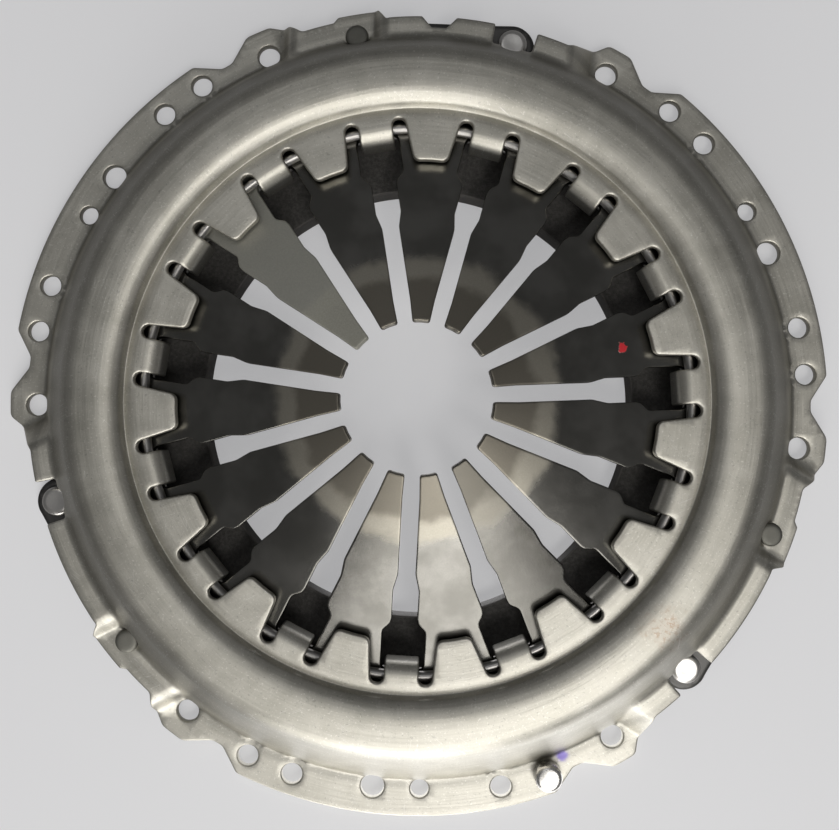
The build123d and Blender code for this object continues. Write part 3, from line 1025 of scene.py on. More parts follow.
@dataclass
class Cover:
    """The pressed cover: dome, flange, raised strap sections, tongues and folded tabs."""

    sheet: float = 4.0
    foot_radius: float = 146.5
    crown_height: float = 43.3
    crown_middle: float = 118.5
    crown_inner_height: float = 39.9
    crown_ease: float = 3.4
    recess_height: float = 37.0
    step_radius: float = 107.3
    step_run: float = 0.5
    step_groove: float = 0.7
    groove_run: float = 5.0
    shoulder_radius: float = 127.9
    shoulder_height: float = 42.7
    crown_round: float = 40.0
    shoulder_round: float = 9.0
    foot_round: float = 1.8
    lip_rounds: Pair = (0.3, 0.35)
    # how far the lower side's corners lie from the upper side's radii
    under_step: Pair = (3.2, 4.4)
    under_shoulder: float = 2.2
    under_foot: float = 2.4
    under_rounds: Pair = (1.2, 1.0)
    section_fine: float = 0.09
    section_margins: Pair = (4.0, 3.0)
    flange_radius: float = 160.8
    notch_radius: float = 154.1
    bridge_radius: float = 149.0
    vee: Triple = (144.6, 2.6, 1.1)
    pad_height: float = 7.5
    bridge_height: float = 13.0
    ramp_radius: float = 150.0
    ramps: tuple[float, ...] = (23.3, 21.6, 9.0, 7.3, -19.3, -23.3)
    ramp_end: float = 8.0
    bend_round: float = 1.5
    saddle: float = 3.0
    bolt_circle: float = 150.0
    # angle and radius of the bolt holes and the dowel holes of one section
    bolts: tuple[Pair, ...] = ((26.5, 4.25), (-26.5, 4.25), (-63.5, 4.5), (-56.5, 3.5))
    balance_circle: float = 152.5
    balance_angles: tuple[float, ...] = (-37.5, -44.5, -75.5, -82.5)
    balance_hole: float = 4.0
    spot_radius: float = 6.7
    spot_slope: float = 0.35
    spot_lines: Triple = (-0.02, 0.16, 0.36)
    rivet_hole: float = 3.55
    rivet_spot: float = 5.0
    plate_rivet_room: float = 6.6
    tongue_tip: float = 88.0
    tongue_width: float = 12.4
    tongue_round: float = 2.8
    slot_end: float = 103.3
    slot_width: float = 5.0
    tab_width: float = 12.6
    tab_sheet: float = 3.6
    tab_inner: float = 95.3
    tab_bend: float = 5.2
    tab_tip_round: float = 1.2
    tab_reach: float = 8.0
    hook_floor: float = 18.0
    hook_end: float = 103.8
    # spacing of the lattice, in millimetres and degrees
    ring_step: float = 2.6
    ring_gap: float = 0.28
    ring_turn: float = 1.2
    ramp_reach: float = 61.0
    ramp_gap: float = 0.3
    ramp_rows: Triple = (128.0, 160.0, 1.3)
    ramp_inner: float = 138.5
    tab_rows: tuple[int, ...] = (10, 5, 10, 3)
    tab_half: float = 5.0
    tab_columns: int = 7
    over: Array = field(init=False)
    under: Array = field(init=False)
    ramp_under: Array = field(init=False)
    ramp_over: Array = field(init=False)

    def __post_init__(self) -> None:
        """Work out the sections that the presses give."""
        self.over, self.under = self._dome_over(), self._dome_under()
        self.ramp_under, self.ramp_over = self._ramp_lines()

    def _dome_over(self) -> Array:
        """Radius and height along the upper side of the dome, from the tongues outwards.

        Returns:
            The line.
        """
        fall = [0.0, 0.2, 0.4, 0.6, 0.8, 1.0]
        rise = [k / 12 for k in range(1, 12)]
        lip = (self.step_radius + self.step_run, self.crown_inner_height)
        across, up = self.crown_middle - lip[0], self.crown_height - lip[1]
        recess = [
            (self.step_radius - self.groove_run * (1 - k), self.recess_height - self.step_groove * k * k)
            for k in fall
        ]
        crown = [(lip[0] + across * k, self.crown_height - up * (1 - k) ** self.crown_ease) for k in rise]
        line = [
            (self.tongue_tip - self.section_margins[0], self.recess_height),
            *recess,
            lip,
            *crown,
            (self.crown_middle, self.crown_height),
            (self.shoulder_radius, self.shoulder_height),
            (self.foot_radius, self.sheet),
            (self.flange_radius + self.section_margins[1], self.sheet),
        ]
        rounds = [0] * len(recess) + [*self.lip_rounds] + [0] * len(crown)
        rounds += [self.crown_round, self.shoulder_round, self.foot_round, 0]
        return rounded(line, rounds, closed=False, fine=self.section_fine)

    def _dome_under(self) -> Array:
        """Radius and height along the lower side of the dome, from the tongues outwards.

        Returns:
            The line.
        """
        low, high = self.under_step
        line = [
            (self.tongue_tip - self.section_margins[0], self.recess_height - self.sheet),
            (self.step_radius + low, self.recess_height - self.sheet),
            (self.step_radius + high, self.crown_inner_height - self.sheet),
            (self.crown_middle, self.crown_height - self.sheet),
            (self.shoulder_radius - self.under_shoulder, self.shoulder_height - self.sheet),
            (self.foot_radius - self.under_foot, 0),
            (self.flange_radius + self.section_margins[1], 0),
        ]
        inner_round = self.shoulder_round - self.sheet
        rounds = [0, *self.under_rounds, self.crown_round, inner_round, self.foot_round + self.sheet, 0]
        return rounded(line, rounds, closed=False, fine=self.section_fine)

    def _ramp_lines(self) -> tuple[Array, Array]:
        """Place across and height of a strap section's lower and upper side.

        Returns:
            The lower and the upper line.
        """
        across = [self.ramp_radius * math.sin(math.radians(a)) for a in self.ramps]
        heights = [0, self.pad_height, self.pad_height, self.bridge_height, self.bridge_height, 0]
        path = [(across[0] + self.ramp_end, 0), *zip(across, heights), (across[-1] - self.ramp_end, 0)]
        outer = self.bend_round + self.sheet
        radii = [0, outer, self.bend_round, outer, self.bend_round, self.bend_round, outer, 0]
        line = rounded(path, radii, closed=False)[::-1]
        ahead = np.gradient(line, axis=0)
        ahead /= np.linalg.norm(ahead, axis=1)[:, None]
        return line, line + np.column_stack([-ahead[:, 1], ahead[:, 0]]) * self.sheet

    def _outline(self) -> Array:
        """Outer edge, clockwise through the ears and strap sections.

        Returns:
            The closed loop.
        """
        flange, notch, bridge = self.flange_radius, self.notch_radius, self.bridge_radius
        points: list[Pair] = []
        radii: list[float] = []
        for index, turn in enumerate(Sectors.straps()):
            floor, wide, narrow = self.vee
            vee = [(bridge, wide, 1.0), (floor, narrow, 1.0), (floor, -narrow, 1.0), (bridge, -wide, 1.0)]
            corners = [
                (flange, 37.1, 3.0), (notch, 33.6, 4.0), (notch, 32.0, 4.0), (flange, 28.4, 4.5),
                (flange, 24.9, 4.0), (156.6, 22.2, 4.0), (152.0, 20.6, 3.0), (152.0, 15.8, 1.2),
                (153.7, 15.0, 1.2), (153.7, 9.0, 1.2), (bridge, 8.0, 1.2), *(vee if index == 0 else []),
                (bridge, -8.4, 0.8), (141.4, -8.4, 1.2), (141.4, -14.8, 1.2), (149.3, -14.8, 0.8),
                (149.3, -19.6, 2.5), (156.6, -23.6, 3.5), (flange, -24.9, 4.0), (flange, -28.4, 4.5),
                (notch, -32.0, 4.0), (notch, -33.6, 4.0), (flange, -37.1, 3.0), (flange, 37.1 - SECTION, 0),
            ]
            for (r1, a1, size), (r2, a2, _) in zip(corners, corners[1:]):
                run = arc(r1, a1 + turn, a2 + turn, 4.0)[:-1] if r1 == r2 else [polar(r1, a1 + turn)]
                points += run
                radii += [size] + [0.0] * (len(run) - 1)
        return rounded(points, radii)

    def _fold_lengths(self) -> tuple[float, float, float, float]:
        """Lengths of a tab's first bend, drop, second bend and hook along its outer side.

        Returns:
            The four lengths.
        """
        bend = self.tab_bend * math.pi / 2
        drop = self.recess_height - self.hook_floor - 2 * self.tab_bend
        return bend, drop, bend, self.hook_end - self.fold_start

    @property
    def fold_start(self) -> float:
        """Radius where a tab starts to turn down."""
        return self.tab_inner + self.tab_bend

    def _inner_edge(self) -> Array:
        """Inner edge: tongues, slots and the tabs as they are before they are folded.

        Returns:
            The closed loop.
        """
        tab_tip = self.fold_start - sum(self._fold_lengths())
        half, slot = self.tab_width / 2, self.slot_width / 2
        centre = self.slot_end - slot
        lean = math.radians(PITCH / 2) - math.asin(self.tongue_width / 2 / self.tongue_tip)
        corner = (self.tongue_tip * math.sin(lean), self.tongue_tip * math.cos(lean))
        ring = [
            (half + slot * (1 + math.cos(turn)), centre + slot * math.sin(turn))
            for turn in np.linspace(0, math.pi, 15)
        ]
        gap = mirrored([corner, *ring, (half, tab_tip)])
        rounds = [self.tongue_round, *[0.0] * len(ring), self.tab_tip_round]
        loop: list[Array] = []
        radii: list[float] = []
        for angle in Sectors.tabs():
            loop += [turned(gap, angle), np.array([polar(self.tongue_tip, angle + PITCH / 2)])]
            radii += rounds + rounds[::-1] + [0.0]
        return rounded(np.concatenate(loop), radii)

    def _spots(self) -> list[tuple[Array, float, float]]:
        """Spot faces that clear the heads of the balance and the cover rivets.

        Returns:
            The centre, radius and floor of each.
        """
        balance = [
            (seat((self.balance_circle, angle), turn), self.spot_radius, self.sheet)
            for turn in Sectors.straps()
            for angle in self.balance_angles[1:]
        ]
        floor = self.pad_height + self.sheet
        return balance + [(seat(COVER_RIVET, turn), self.rivet_spot, floor) for turn in Sectors.straps()]

    def _holes(self) -> list[Array]:
        """Holes of the flange and the pads, and the room for the plate rivets.

        Returns:
            Their closed loops.
        """
        circles = [((self.bolt_circle, angle), size) for angle, size in self.bolts]
        circles += [((self.balance_circle, angle), self.balance_hole) for angle in self.balance_angles]
        circles += [(COVER_RIVET, self.rivet_hole), (PLATE_RIVET, self.plate_rivet_room)]
        return [circle(seat(place, turn), size, 36) for turn in Sectors.straps() for place, size in circles]

    def _ring_points(self) -> Array:
        """Rings of points that follow the section, without those on the tabs.

        Returns:
            The points.
        """
        inner, outer = self.tongue_tip, self.flange_radius
        plain = np.arange(inner + 0.5, outer + 0.2, self.ring_step)
        marks = np.concatenate([self.over[:, 0], self.under[:, 0], plain])
        marks = np.sort(marks[(marks > inner + 0.2) & (marks < outer - 0.2)])
        turns = np.arange(0, 360, self.ring_turn)
        grid = np.array([polar(r, a) for r in thinned(marks, self.ring_gap) for a in turns])
        angle = bearing(grid) % PITCH - PITCH / 2
        radius = np.linalg.norm(grid, axis=1)
        across = np.abs(radius * np.sin(np.radians(angle)))
        return grid[(across > self.tab_reach + 0.5) | (radius > self.fold_start + 0.4)]

    def _ramp_points(self) -> Array:
        """Lines of points that follow the bends of the first strap section.

        Returns:
            The points.
        """
        marks = np.sort(np.concatenate([self.ramp_over[:, 0], self.ramp_under[:, 0]]))
        marks = thinned(marks[np.abs(marks) < self.ramp_reach], self.ramp_gap)
        ramp = np.array([(-mark, y) for mark in marks for y in np.arange(*self.ramp_rows)])
        return ramp[np.linalg.norm(ramp, axis=1) > self.ramp_inner]

    def _tab_points(self) -> Array:
        """Rows of points along one tab, close together in its bends.

        Returns:
            The points.
        """
        start, steps = 0.0, [np.zeros(1)]
        for length, count in zip(self._fold_lengths(), self.tab_rows):
            steps.append(start + np.linspace(0, length, count)[1:])
            start += length
        columns = np.linspace(-self.tab_half, self.tab_half, self.tab_columns)
        return np.array([(x, self.fold_start - along) for along in np.concatenate(steps) for x in columns])

    def _lattice(self) -> Array:
        """Inner points of the blank: rings, strap section lines, spot circles and tab rows.

        Returns:
            The points.
        """
        ramp, tab = self._ramp_points(), self._tab_points()
        layers = [self._ring_points(), *[turned(ramp, turn) for turn in Sectors.straps()]]
        for centre, size, _ in self._spots():
            count = 40 if size > self.rivet_spot else 32
            layers += [circle(centre, size + extra, count) for extra in self.spot_lines]
        layers += [turned(tab, angle) for angle in Sectors.tabs()]
        return np.concatenate(layers)

    def _form(self, points: Array) -> tuple[Array, Array]:
        """Upper and lower side of the pressing.

        Args:
            points: places on the blank.

        Returns:
            The place of each point on the upper and on the lower side.
        """
        radius = np.linalg.norm(points, axis=1)
        angle = bearing(points)
        along = radius * np.sin(np.radians(folded(angle, SECTION)))
        raised = np.interp(along, self.ramp_over[:, 0], self.ramp_over[:, 1])
        hollow = np.interp(along, self.ramp_under[:, 0], self.ramp_under[:, 1])
        dome = np.interp(radius, self.over[:, 0], self.over[:, 1])
        reach = self.saddle * np.clip((raised - self.sheet) / self.saddle, 0, 1)
        top = smooth_max(dome, raised, reach)
        base = np.maximum(np.interp(radius, self.under[:, 0], self.under[:, 1]), hollow)
        for centre, size, floor in self._spots():
            edge = np.clip((np.linalg.norm(points - centre, axis=1) - size) / self.spot_slope, 0, 1)
            top = np.where(top > floor, floor + (top - floor) * edge, top)
        upper = np.column_stack([points, top])
        lower = np.column_stack([points, base])
        self._fold(points, upper, lower)
        return upper, lower

    def _fold(self, points: Array, upper: Array, lower: Array) -> None:
        """Turn the tabs down and hook their ends outwards, in place.

        Args:
            points: places on the blank.
            upper: places on the upper side, which are changed on the tabs.
            lower: places on the lower side, which are changed too.
        """
        radius, angle = np.linalg.norm(points, axis=1), bearing(points)
        middle = (np.floor(angle / PITCH) + 0.5) * PITCH
        turn = np.radians(angle - middle)
        across, out = -radius * np.sin(turn), radius * np.cos(turn)
        tab = (np.abs(across) < self.tab_reach) & (out < self.fold_start)
        length = self.fold_start - out[tab]
        first, drop, second, _ = self._fold_lengths()
        bend, start, top = self.tab_bend, self.fold_start, self.recess_height
        down = np.clip(length - first, 0, drop)
        swing = np.clip(length, 0, first) / bend
        hook = np.clip(length - first - drop, 0, second) / bend
        run = np.maximum(length - first - drop - second, 0)
        away = start - bend * np.sin(swing) + bend * (1 - np.cos(hook)) + run
        height = top - bend * (1 - np.cos(swing)) - down - bend * np.sin(hook)
        facing = swing + hook
        thick = self.sheet - (self.sheet - self.tab_sheet) * np.clip(length / first, 0, 1)
        inner = np.column_stack([away + np.sin(facing) * thick, height - np.cos(facing) * thick])
        cos, sin = np.cos(np.radians(middle[tab])), np.sin(np.radians(middle[tab]))
        for target, place, level in ((upper, away, height), (lower, inner[:, 0], inner[:, 1])):
            target[tab, 0] = across[tab] * cos - place * sin
            target[tab, 1] = across[tab] * sin + place * cos
            target[tab, 2] = level

    def build(self) -> bpy.types.Object:
        """Press the cover and hand it to its body.

        Returns:
            The cover.
        """
        blank = Blank(self._outline(), [self._inner_edge(), *self._holes()], self._lattice(), edge=0.7)
        piece = dressed(blank.pressed("cover_pressing", self._form), PressedSteel().material())
        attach(piece, Body.COVER.value)
        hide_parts("cover")
        return piece


@dataclass
class DiaphragmSpring:
    """The slotted cone: an outer spring ring with fifteen fingers, flattened by the plate."""

    sheet: float = 3.0
    cone_angle: float = 14.0
    outer_radius: float = 127.0
    tip_radius: float = 27.5
    fulcrum_radius: float = 101.2
    fulcrum_height: float = 27.293
    slot: tuple[Pair, ...] = (
        (2.65, 27.36), (3.05, 36.0), (3.05, 63.0), (4.6, 69.0), (4.6, 81.5), (7.9, 84.0), (7.9, 99.9),
    )
    rounds: tuple[float, ...] = (0.9, 0.0, 6.0, 6.0, 4.0, 2.6, 2.6)
    flat_share: float = 0.09
    ring_radii: Triple = (30.0, 126.0, 4.0)
    ring_turn: float = 3.0
    edge_bevel: float = 0.32
    edge_turn: float = 55.0

    def _outline(self) -> tuple[Array, Array]:
        """Outer circle and the inner edge that runs round the fingers.

        Returns:
            The two closed loops.
        """
        gap = mirrored(self.slot)
        loop: list[Array] = []
        radii: list[float] = []
        for angle in Sectors.tabs():
            loop += [turned(gap, angle), np.array([polar(self.tip_radius, angle + PITCH / 2)])]
            radii += [*self.rounds, *self.rounds[::-1], 0.0]
        return circle((0, 0), self.outer_radius, 400), rounded(np.concatenate(loop), radii, fine=0.8)

    def _form(self, points: Array) -> tuple[Array, Array]:
        """Middle of the sheet at each point, twice.

        Args:
            points: places on the blank.

        Returns:
            The place of each point on the cone, as both of its sides.
        """
        radius = np.linalg.norm(points, axis=1)
        slope = math.tan(math.radians(self.cone_angle))
        height = self.fulcrum_height - (radius - self.fulcrum_radius) * slope
        middle = np.column_stack([points, height])
        return middle, middle

    def build(self) -> bpy.types.Object:
        """Cut the spring, give it its sheet and hand it to its body.

        Returns:
            The spring.
        """
        outer, inner = self._outline()
        turns = np.arange(0, 360, self.ring_turn)
        rings = [polar(r, a) for r in np.arange(*self.ring_radii) for a in turns]
        blank = Blank(outer, [inner], np.array(rings), edge=0.8, rows=1, run=1.1)
        piece = dressed(blank.laid("spring_disc", self._form), TemperedSteel().material())
        thick = piece.modifiers.new("sheet", "SOLIDIFY")
        thick.thickness, thick.offset, thick.use_even_offset = self.sheet * MM, 0.0, True
        bevel = piece.modifiers.new("edges", "BEVEL")
        bevel.width, bevel.segments, bevel.limit_method = self.edge_bevel * MM, 2, "ANGLE"
        bevel.angle_limit, bevel.loop_slide = math.radians(self.edge_turn), False
        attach(piece, Body.COVER.value)
        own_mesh(piece)
        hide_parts("diaphragm_spring")
        return piece


@dataclass
class PressurePlate:
    """The cast ring with its fulcrum ridge, vents, strap lugs and turned friction face."""

    inner_radius: float = 82.5
    outer_radius: float = 136.0
    face: float = -3.0
    section: tuple[Pair, ...] = (
        (82.5, 9.5), (118.0, 9.5), (119.8, 17.7), (122.8, 19.5), (125.2, 19.5),
        (128.2, 17.7), (130.0, 9.5), (131.0, 9.5), (136.0, 3.0),
    )
    ridge: Pair = (117.5, 130.5)
    vent_width: float = 9.0
    vent_floor: float = 12.5
    vents: int = 12
    lug_radius: float = 9.0
    lug_root: Pair = (15.0, 128.0)
    lug_seat: float = 2.5
    lug_floor: float = -1.5
    rivet_hole: float = 4.05
    pocket: float = 9.2
    # lattice points lie this far to either side of a line where the height jumps
    jump: float = 0.1
    edge_turn: float = 38.0
    ring_turn: float = 1.2
    ring_radii: Triple = (85.0, 117.0, 3.0)
    vent_rows: Triple = (117.0, 131.5, 0.9)
    pocket_step: float = 1.2
    rings: tuple[float, ...] = (
        117.9, 118.1, 119.0, 119.8, 121.3, 122.7, 122.9, 124.0, 125.1, 125.3, 126.7, 128.2, 129.0, 129.9,
        130.1, 131.0, 132.5, 134.0, 135.4, 135.75, 135.95, 136.1, 138.0, 141.0, 144.0,
    )

    def _outline(self) -> Array:
        """Outer edge: the rim's circle with three lugs that taper out to round ends.

        Returns:
            The closed loop.
        """
        half, root = self.lug_root
        centre, lug_angle = PLATE_RIVET
        far = math.hypot(half, centre - root)
        touch = math.atan2(root - centre, half) + math.acos(self.lug_radius / far)
        tip = [
            (self.lug_radius * math.cos(turn), centre + self.lug_radius * math.sin(turn))
            for turn in np.linspace(touch, math.pi - touch, 22)
        ]
        slope = (tip[0][0] - half) / (tip[0][1] - root)
        heights = np.linspace(root, tip[0][1], 400)
        flank = np.column_stack([half + (heights - root) * slope, heights])
        rim = flank[np.argmin(np.abs(np.linalg.norm(flank, axis=1) - self.outer_radius))]
        lug = np.array([rim, *tip, (-rim[0], rim[1])])
        spread = math.degrees(math.atan2(rim[0], rim[1]))
        loop: list[Array] = []
        for turn in Sectors.straps()[::-1]:
            middle = lug_angle + turn
            loop.append(turned(lug, middle))
            gap = arc(self.outer_radius, middle + spread, middle + SECTION - spread, 3.0)
            loop.append(np.array(gap)[1:-1])
        return np.concatenate(loop)

    def _lattice(self) -> Array:
        """Inner points: rings at the section's corners and lines along the vents and pockets.

        Returns:
            The points.
        """
        radii = [self.inner_radius + 1.0, *np.arange(*self.ring_radii), *self.rings]
        layers = [np.array([polar(r, a) for r in radii for a in np.arange(0, 360, self.ring_turn)])]
        half, jump = self.vent_width / 2, self.jump
        lines = [half - jump, half + jump, -half + jump, -half - jump]
        vent = np.array([(x, y) for x in lines for y in np.arange(*self.vent_rows)])
        layers += [turned(vent, 360 / self.vents * index) for index in range(self.vents)]
        for turn in Sectors.straps():
            lug, pad = seat(PLATE_RIVET, turn), seat(COVER_RIVET, turn)
            along = (pad - lug) / np.linalg.norm(pad - lug)
            side = np.array([-along[1], along[0]])
            runs = np.arange(0, np.linalg.norm(pad - lug), self.pocket_step)
            for sign in (-1, 1):
                for extra in (-jump, jump):
                    layers.append(lug + runs[:, None] * along + side * sign * (self.pocket + extra))
            layers += [circle(lug, self.pocket + extra, 60) for extra in (-jump, jump)]
        return np.concatenate(layers)

    def _form(self, points: Array) -> tuple[Array, Array]:
        """Upper and lower side of the casting.

        Args:
            points: places on the blank.

        Returns:
            The place of each point on the upper and on the lower side.
        """
        radius = np.linalg.norm(points, axis=1)
        section = np.array(self.section)
        top = np.interp(radius, section[:, 0], section[:, 1])
        top = np.where(radius > self.outer_radius + 0.02, self.lug_seat, top)
        vent = np.abs(radius * np.sin(np.radians(folded(bearing(points), 360 / self.vents))))
        low, high = self.ridge
        cut = (vent < self.vent_width / 2) & (radius > low) & (radius < high)
        top = np.where(cut, np.minimum(top, self.vent_floor), top)
        for turn in Sectors.straps():
            lug, pad = seat(PLATE_RIVET, turn), seat(COVER_RIVET, turn)
            run = pad - lug
            share = np.clip((points - lug) @ run / (run @ run), 0, 1)
            far = np.linalg.norm(points - lug - share[:, None] * run, axis=1)
            top = np.where(far < self.pocket, np.minimum(top, self.lug_seat), top)
        base = np.where(radius > self.outer_radius + 0.02, self.lug_floor, self.face)
        return np.column_stack([points, top]), np.column_stack([points, base])

    def build(self) -> bpy.types.Object:
        """Cast the plate and hand it to its body.

        Returns:
            The plate.
        """
        holes = [circle(seat(PLATE_RIVET, turn), self.rivet_hole, 30) for turn in Sectors.straps()]
        bore = circle((0, 0), self.inner_radius, 420)
        blank = Blank(self._outline(), [bore, *holes], self._lattice(), edge=0.6, run=1.6)
        piece = dressed(blank.pressed("plate_casting", self._form), CastIron().material())
        sharpen(piece, self.edge_turn)
        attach(piece, Body.PLATE.value)
        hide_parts("pressure_plate")
        return piece


def sharpen(piece: bpy.types.Object, angle: float) -> None:
    """Shade edges that turn by more than an angle in degrees as sharp."""
    piece.data.set_sharp_from_angle(angle=math.radians(angle))


@dataclass
class StrapDrive:
    """Three packs of spring-steel leaves that carry the plate and bend as it lifts."""

    width: float = 16.0
    thickness: float = 0.8
    leaves: int = 3
    flat: float = 9.0
    bend: float = 12.0
    low: float = 2.5
    high: float = 5.1
    plate_hole: float = 4.05
    cover_hole: float = 3.55
    bend_fine: float = 0.03
    grid_step: float = 1.6
    grid_half: float = 6.4
    grid_margin: float = 7.0
    line_margin: float = 20.0
    tone: Colour = (0.13, 0.128, 0.125)
    stain: Colour = (0.06, 0.058, 0.055)

    def _leaf(self, start: Array, end: Array, lift: float, material: bpy.types.Material) -> bpy.types.Object:
        """One leaf, from its plate rivet to its cover rivet.

        Args:
            start: plan place of the plate rivet.
            end: plan place of the cover rivet.
            lift: height of the leaf over the lowest one.
            material: its finish.

        Returns:
            The leaf.
        """
        run = end - start
        length = float(np.linalg.norm(run))
        along = run / length
        side = np.array([-along[1], along[0]])
        half = self.width / 2
        ends = [circle((0, 0), half, 48), circle((length, 0), half, 48)]
        round_plate = ends[0][ends[0][:, 0] <= 0.01]
        order = np.argsort(np.arctan2(round_plate[:, 1], round_plate[:, 0]) % (2 * math.pi))
        round_cover = ends[1][ends[1][:, 0] >= length - 0.01]
        turns = np.argsort(np.arctan2(round_cover[:, 1], round_cover[:, 0] - length))
        outline = np.concatenate([round_plate[order], round_cover[turns]])
        holes = [circle((0, 0), self.plate_hole, 26), circle((length, 0), self.cover_hole, 26)]
        columns = np.arange(-self.grid_margin, length + self.grid_margin, self.grid_step)
        lines = np.arange(-self.grid_half, self.grid_half + 0.1, self.grid_step)
        grid = np.array([(x, y) for x in columns for y in lines])
        path = [
            (-self.line_margin, self.low), (self.flat, self.low),
            (length - self.flat, self.high), (length + self.line_margin, self.high),
        ]
        line = rounded(path, self.bend, closed=False, fine=self.bend_fine)

        def form(points: Array) -> tuple[Array, Array]:
            """Upper and lower side of the leaf.

            Args:
                points: places on the flat leaf.

            Returns:
                The place of each point on the upper and on the lower side.
            """
            height = np.interp(points[:, 0], line[:, 0], line[:, 1]) + lift
            place = start + points[:, :1] * along + points[:, 1:2] * side
            return np.column_stack([place, height + self.thickness]), np.column_stack([place, height])

        blank = Blank(outline, holes, grid, edge=0.15, rows=1, run=1.3)
        return dressed(blank.pressed("leaf", form), material)

    def build(self) -> list[bpy.types.Object]:
        """Make each pack as one piece.

        Returns:
            The packs.
        """
        material = PlainMetal("strap_steel", self.tone, self.stain, 0.36).material()
        packs = []
        for index, turn in enumerate(Sectors.straps()):
            start, end = seat(PLATE_RIVET, turn), seat(COVER_RIVET, turn)
            made = [self._leaf(start, end, self.thickness * k, material) for k in range(self.leaves)]
            pack = joined(f"strap_pack_{index + 1}", made)
            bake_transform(pack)
            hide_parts(*[f"strap_{index + 1}_leaf_{k + 1}" for k in range(self.leaves)])
            packs.append(pack)
        return packs


def joined(name: str, pieces: list[bpy.types.Object]) -> bpy.types.Object:
    """One object from several meshes that share a material.

    Args:
        name: its name.
        pieces: the objects, which are removed.

    Returns:
        The new object.
    """
    points: list[Array] = []
    faces: list[tuple[int, ...]] = []
    base = 0
    for piece in pieces:
        count = len(piece.data.vertices)
        flat = np.empty(count * 3, np.float32)
        piece.data.vertices.foreach_get("co", flat)
        points.append(flat.reshape(-1, 3) / MM)
        faces += [tuple(base + k for k in polygon.vertices) for polygon in piece.data.polygons]
        base += count
    made = dressed(solid(name, np.concatenate(points), faces), pieces[0].data.materials[0])
    for piece in pieces:
        bpy.data.objects.remove(piece)
    return made


# ---------------------------------------------------------------- repeated pieces by Geometry Nodes


class Grower:
    """Builds one Geometry Nodes tree with named inputs and runs it on an object."""

    def __init__(self, name: str) -> None:
        """Make an empty tree with its output.

        Args:
            name: the tree's name.
        """
        self.tree = bpy.data.node_groups.new(name, "GeometryNodeTree")
        self.tree.interface.new_socket("Geometry", in_out="OUTPUT", socket_type="NodeSocketGeometry")
        self.values: dict[str, object] = {}
        self.source = self.tree.nodes.new("NodeGroupInput")
        self.sink = self.tree.nodes.new("NodeGroupOutput")

    def ask(self, name: str, kind: str, value: object = None) -> bpy.types.NodeSocket:
        """Add a named input.

        Args:
            name: its name.
            kind: its socket type.
            value: what it is set to; the object's own geometry is left unset.

        Returns:
            Its socket inside the tree.
        """
        item = self.tree.interface.new_socket(name, in_out="INPUT", socket_type=kind)
        if value is not None:
            self.values[item.identifier] = value
        return next(s for s in self.source.outputs if s.identifier == item.identifier)

    def node(self, kind: str, settings: dict[str, object] | None = None, **inputs: object) -> bpy.types.Node:
        """Add a node.

        Args:
            kind: its type.
            settings: its properties.
            inputs: values or sockets by the name of the input, with underscores for spaces.

        Returns:
            The node.
        """
        made = self.tree.nodes.new(kind)
        for key, value in (settings or {}).items():
            setattr(made, key, value)
        for key, value in inputs.items():
            socket = made.inputs[key.replace("_", " ")]
            if isinstance(value, bpy.types.NodeSocket):
                self.tree.links.new(value, socket)
            else:
                socket.default_value = value
        return made

    def grow(
        self, piece: bpy.types.Object, geometry: bpy.types.NodeSocket, metal: bpy.types.Material
    ) -> bpy.types.Object:
        """Realize, dress and turn the tree's result into an object's plain mesh.

        Args:
            piece: the object, whose own mesh is the tree's geometry input.
            geometry: the result's socket.
            metal: the finish it is given.

        Returns:
            The object with its new mesh.
        """
        finish = self.ask("Finish", "NodeSocketMaterial", metal)
        plain = self.node("GeometryNodeRealizeInstances", Geometry=geometry)
        skin = self.node("GeometryNodeSetMaterial", Geometry=plain.outputs[0], Material=finish)
        self.tree.links.new(skin.outputs[0], self.sink.inputs[0])
        modifier = piece.modifiers.new("grow", "NODES")
        modifier.node_group = self.tree
        for identifier, value in self.values.items():
            modifier[identifier] = value
        graph = bpy.context.evaluated_depsgraph_get()
        mesh = bpy.data.meshes.new_from_object(piece.evaluated_get(graph), depsgraph=graph)
        piece.modifiers.clear()
        piece.data = mesh
        mesh.polygons.foreach_set("use_smooth", [True] * len(mesh.polygons))
        return piece


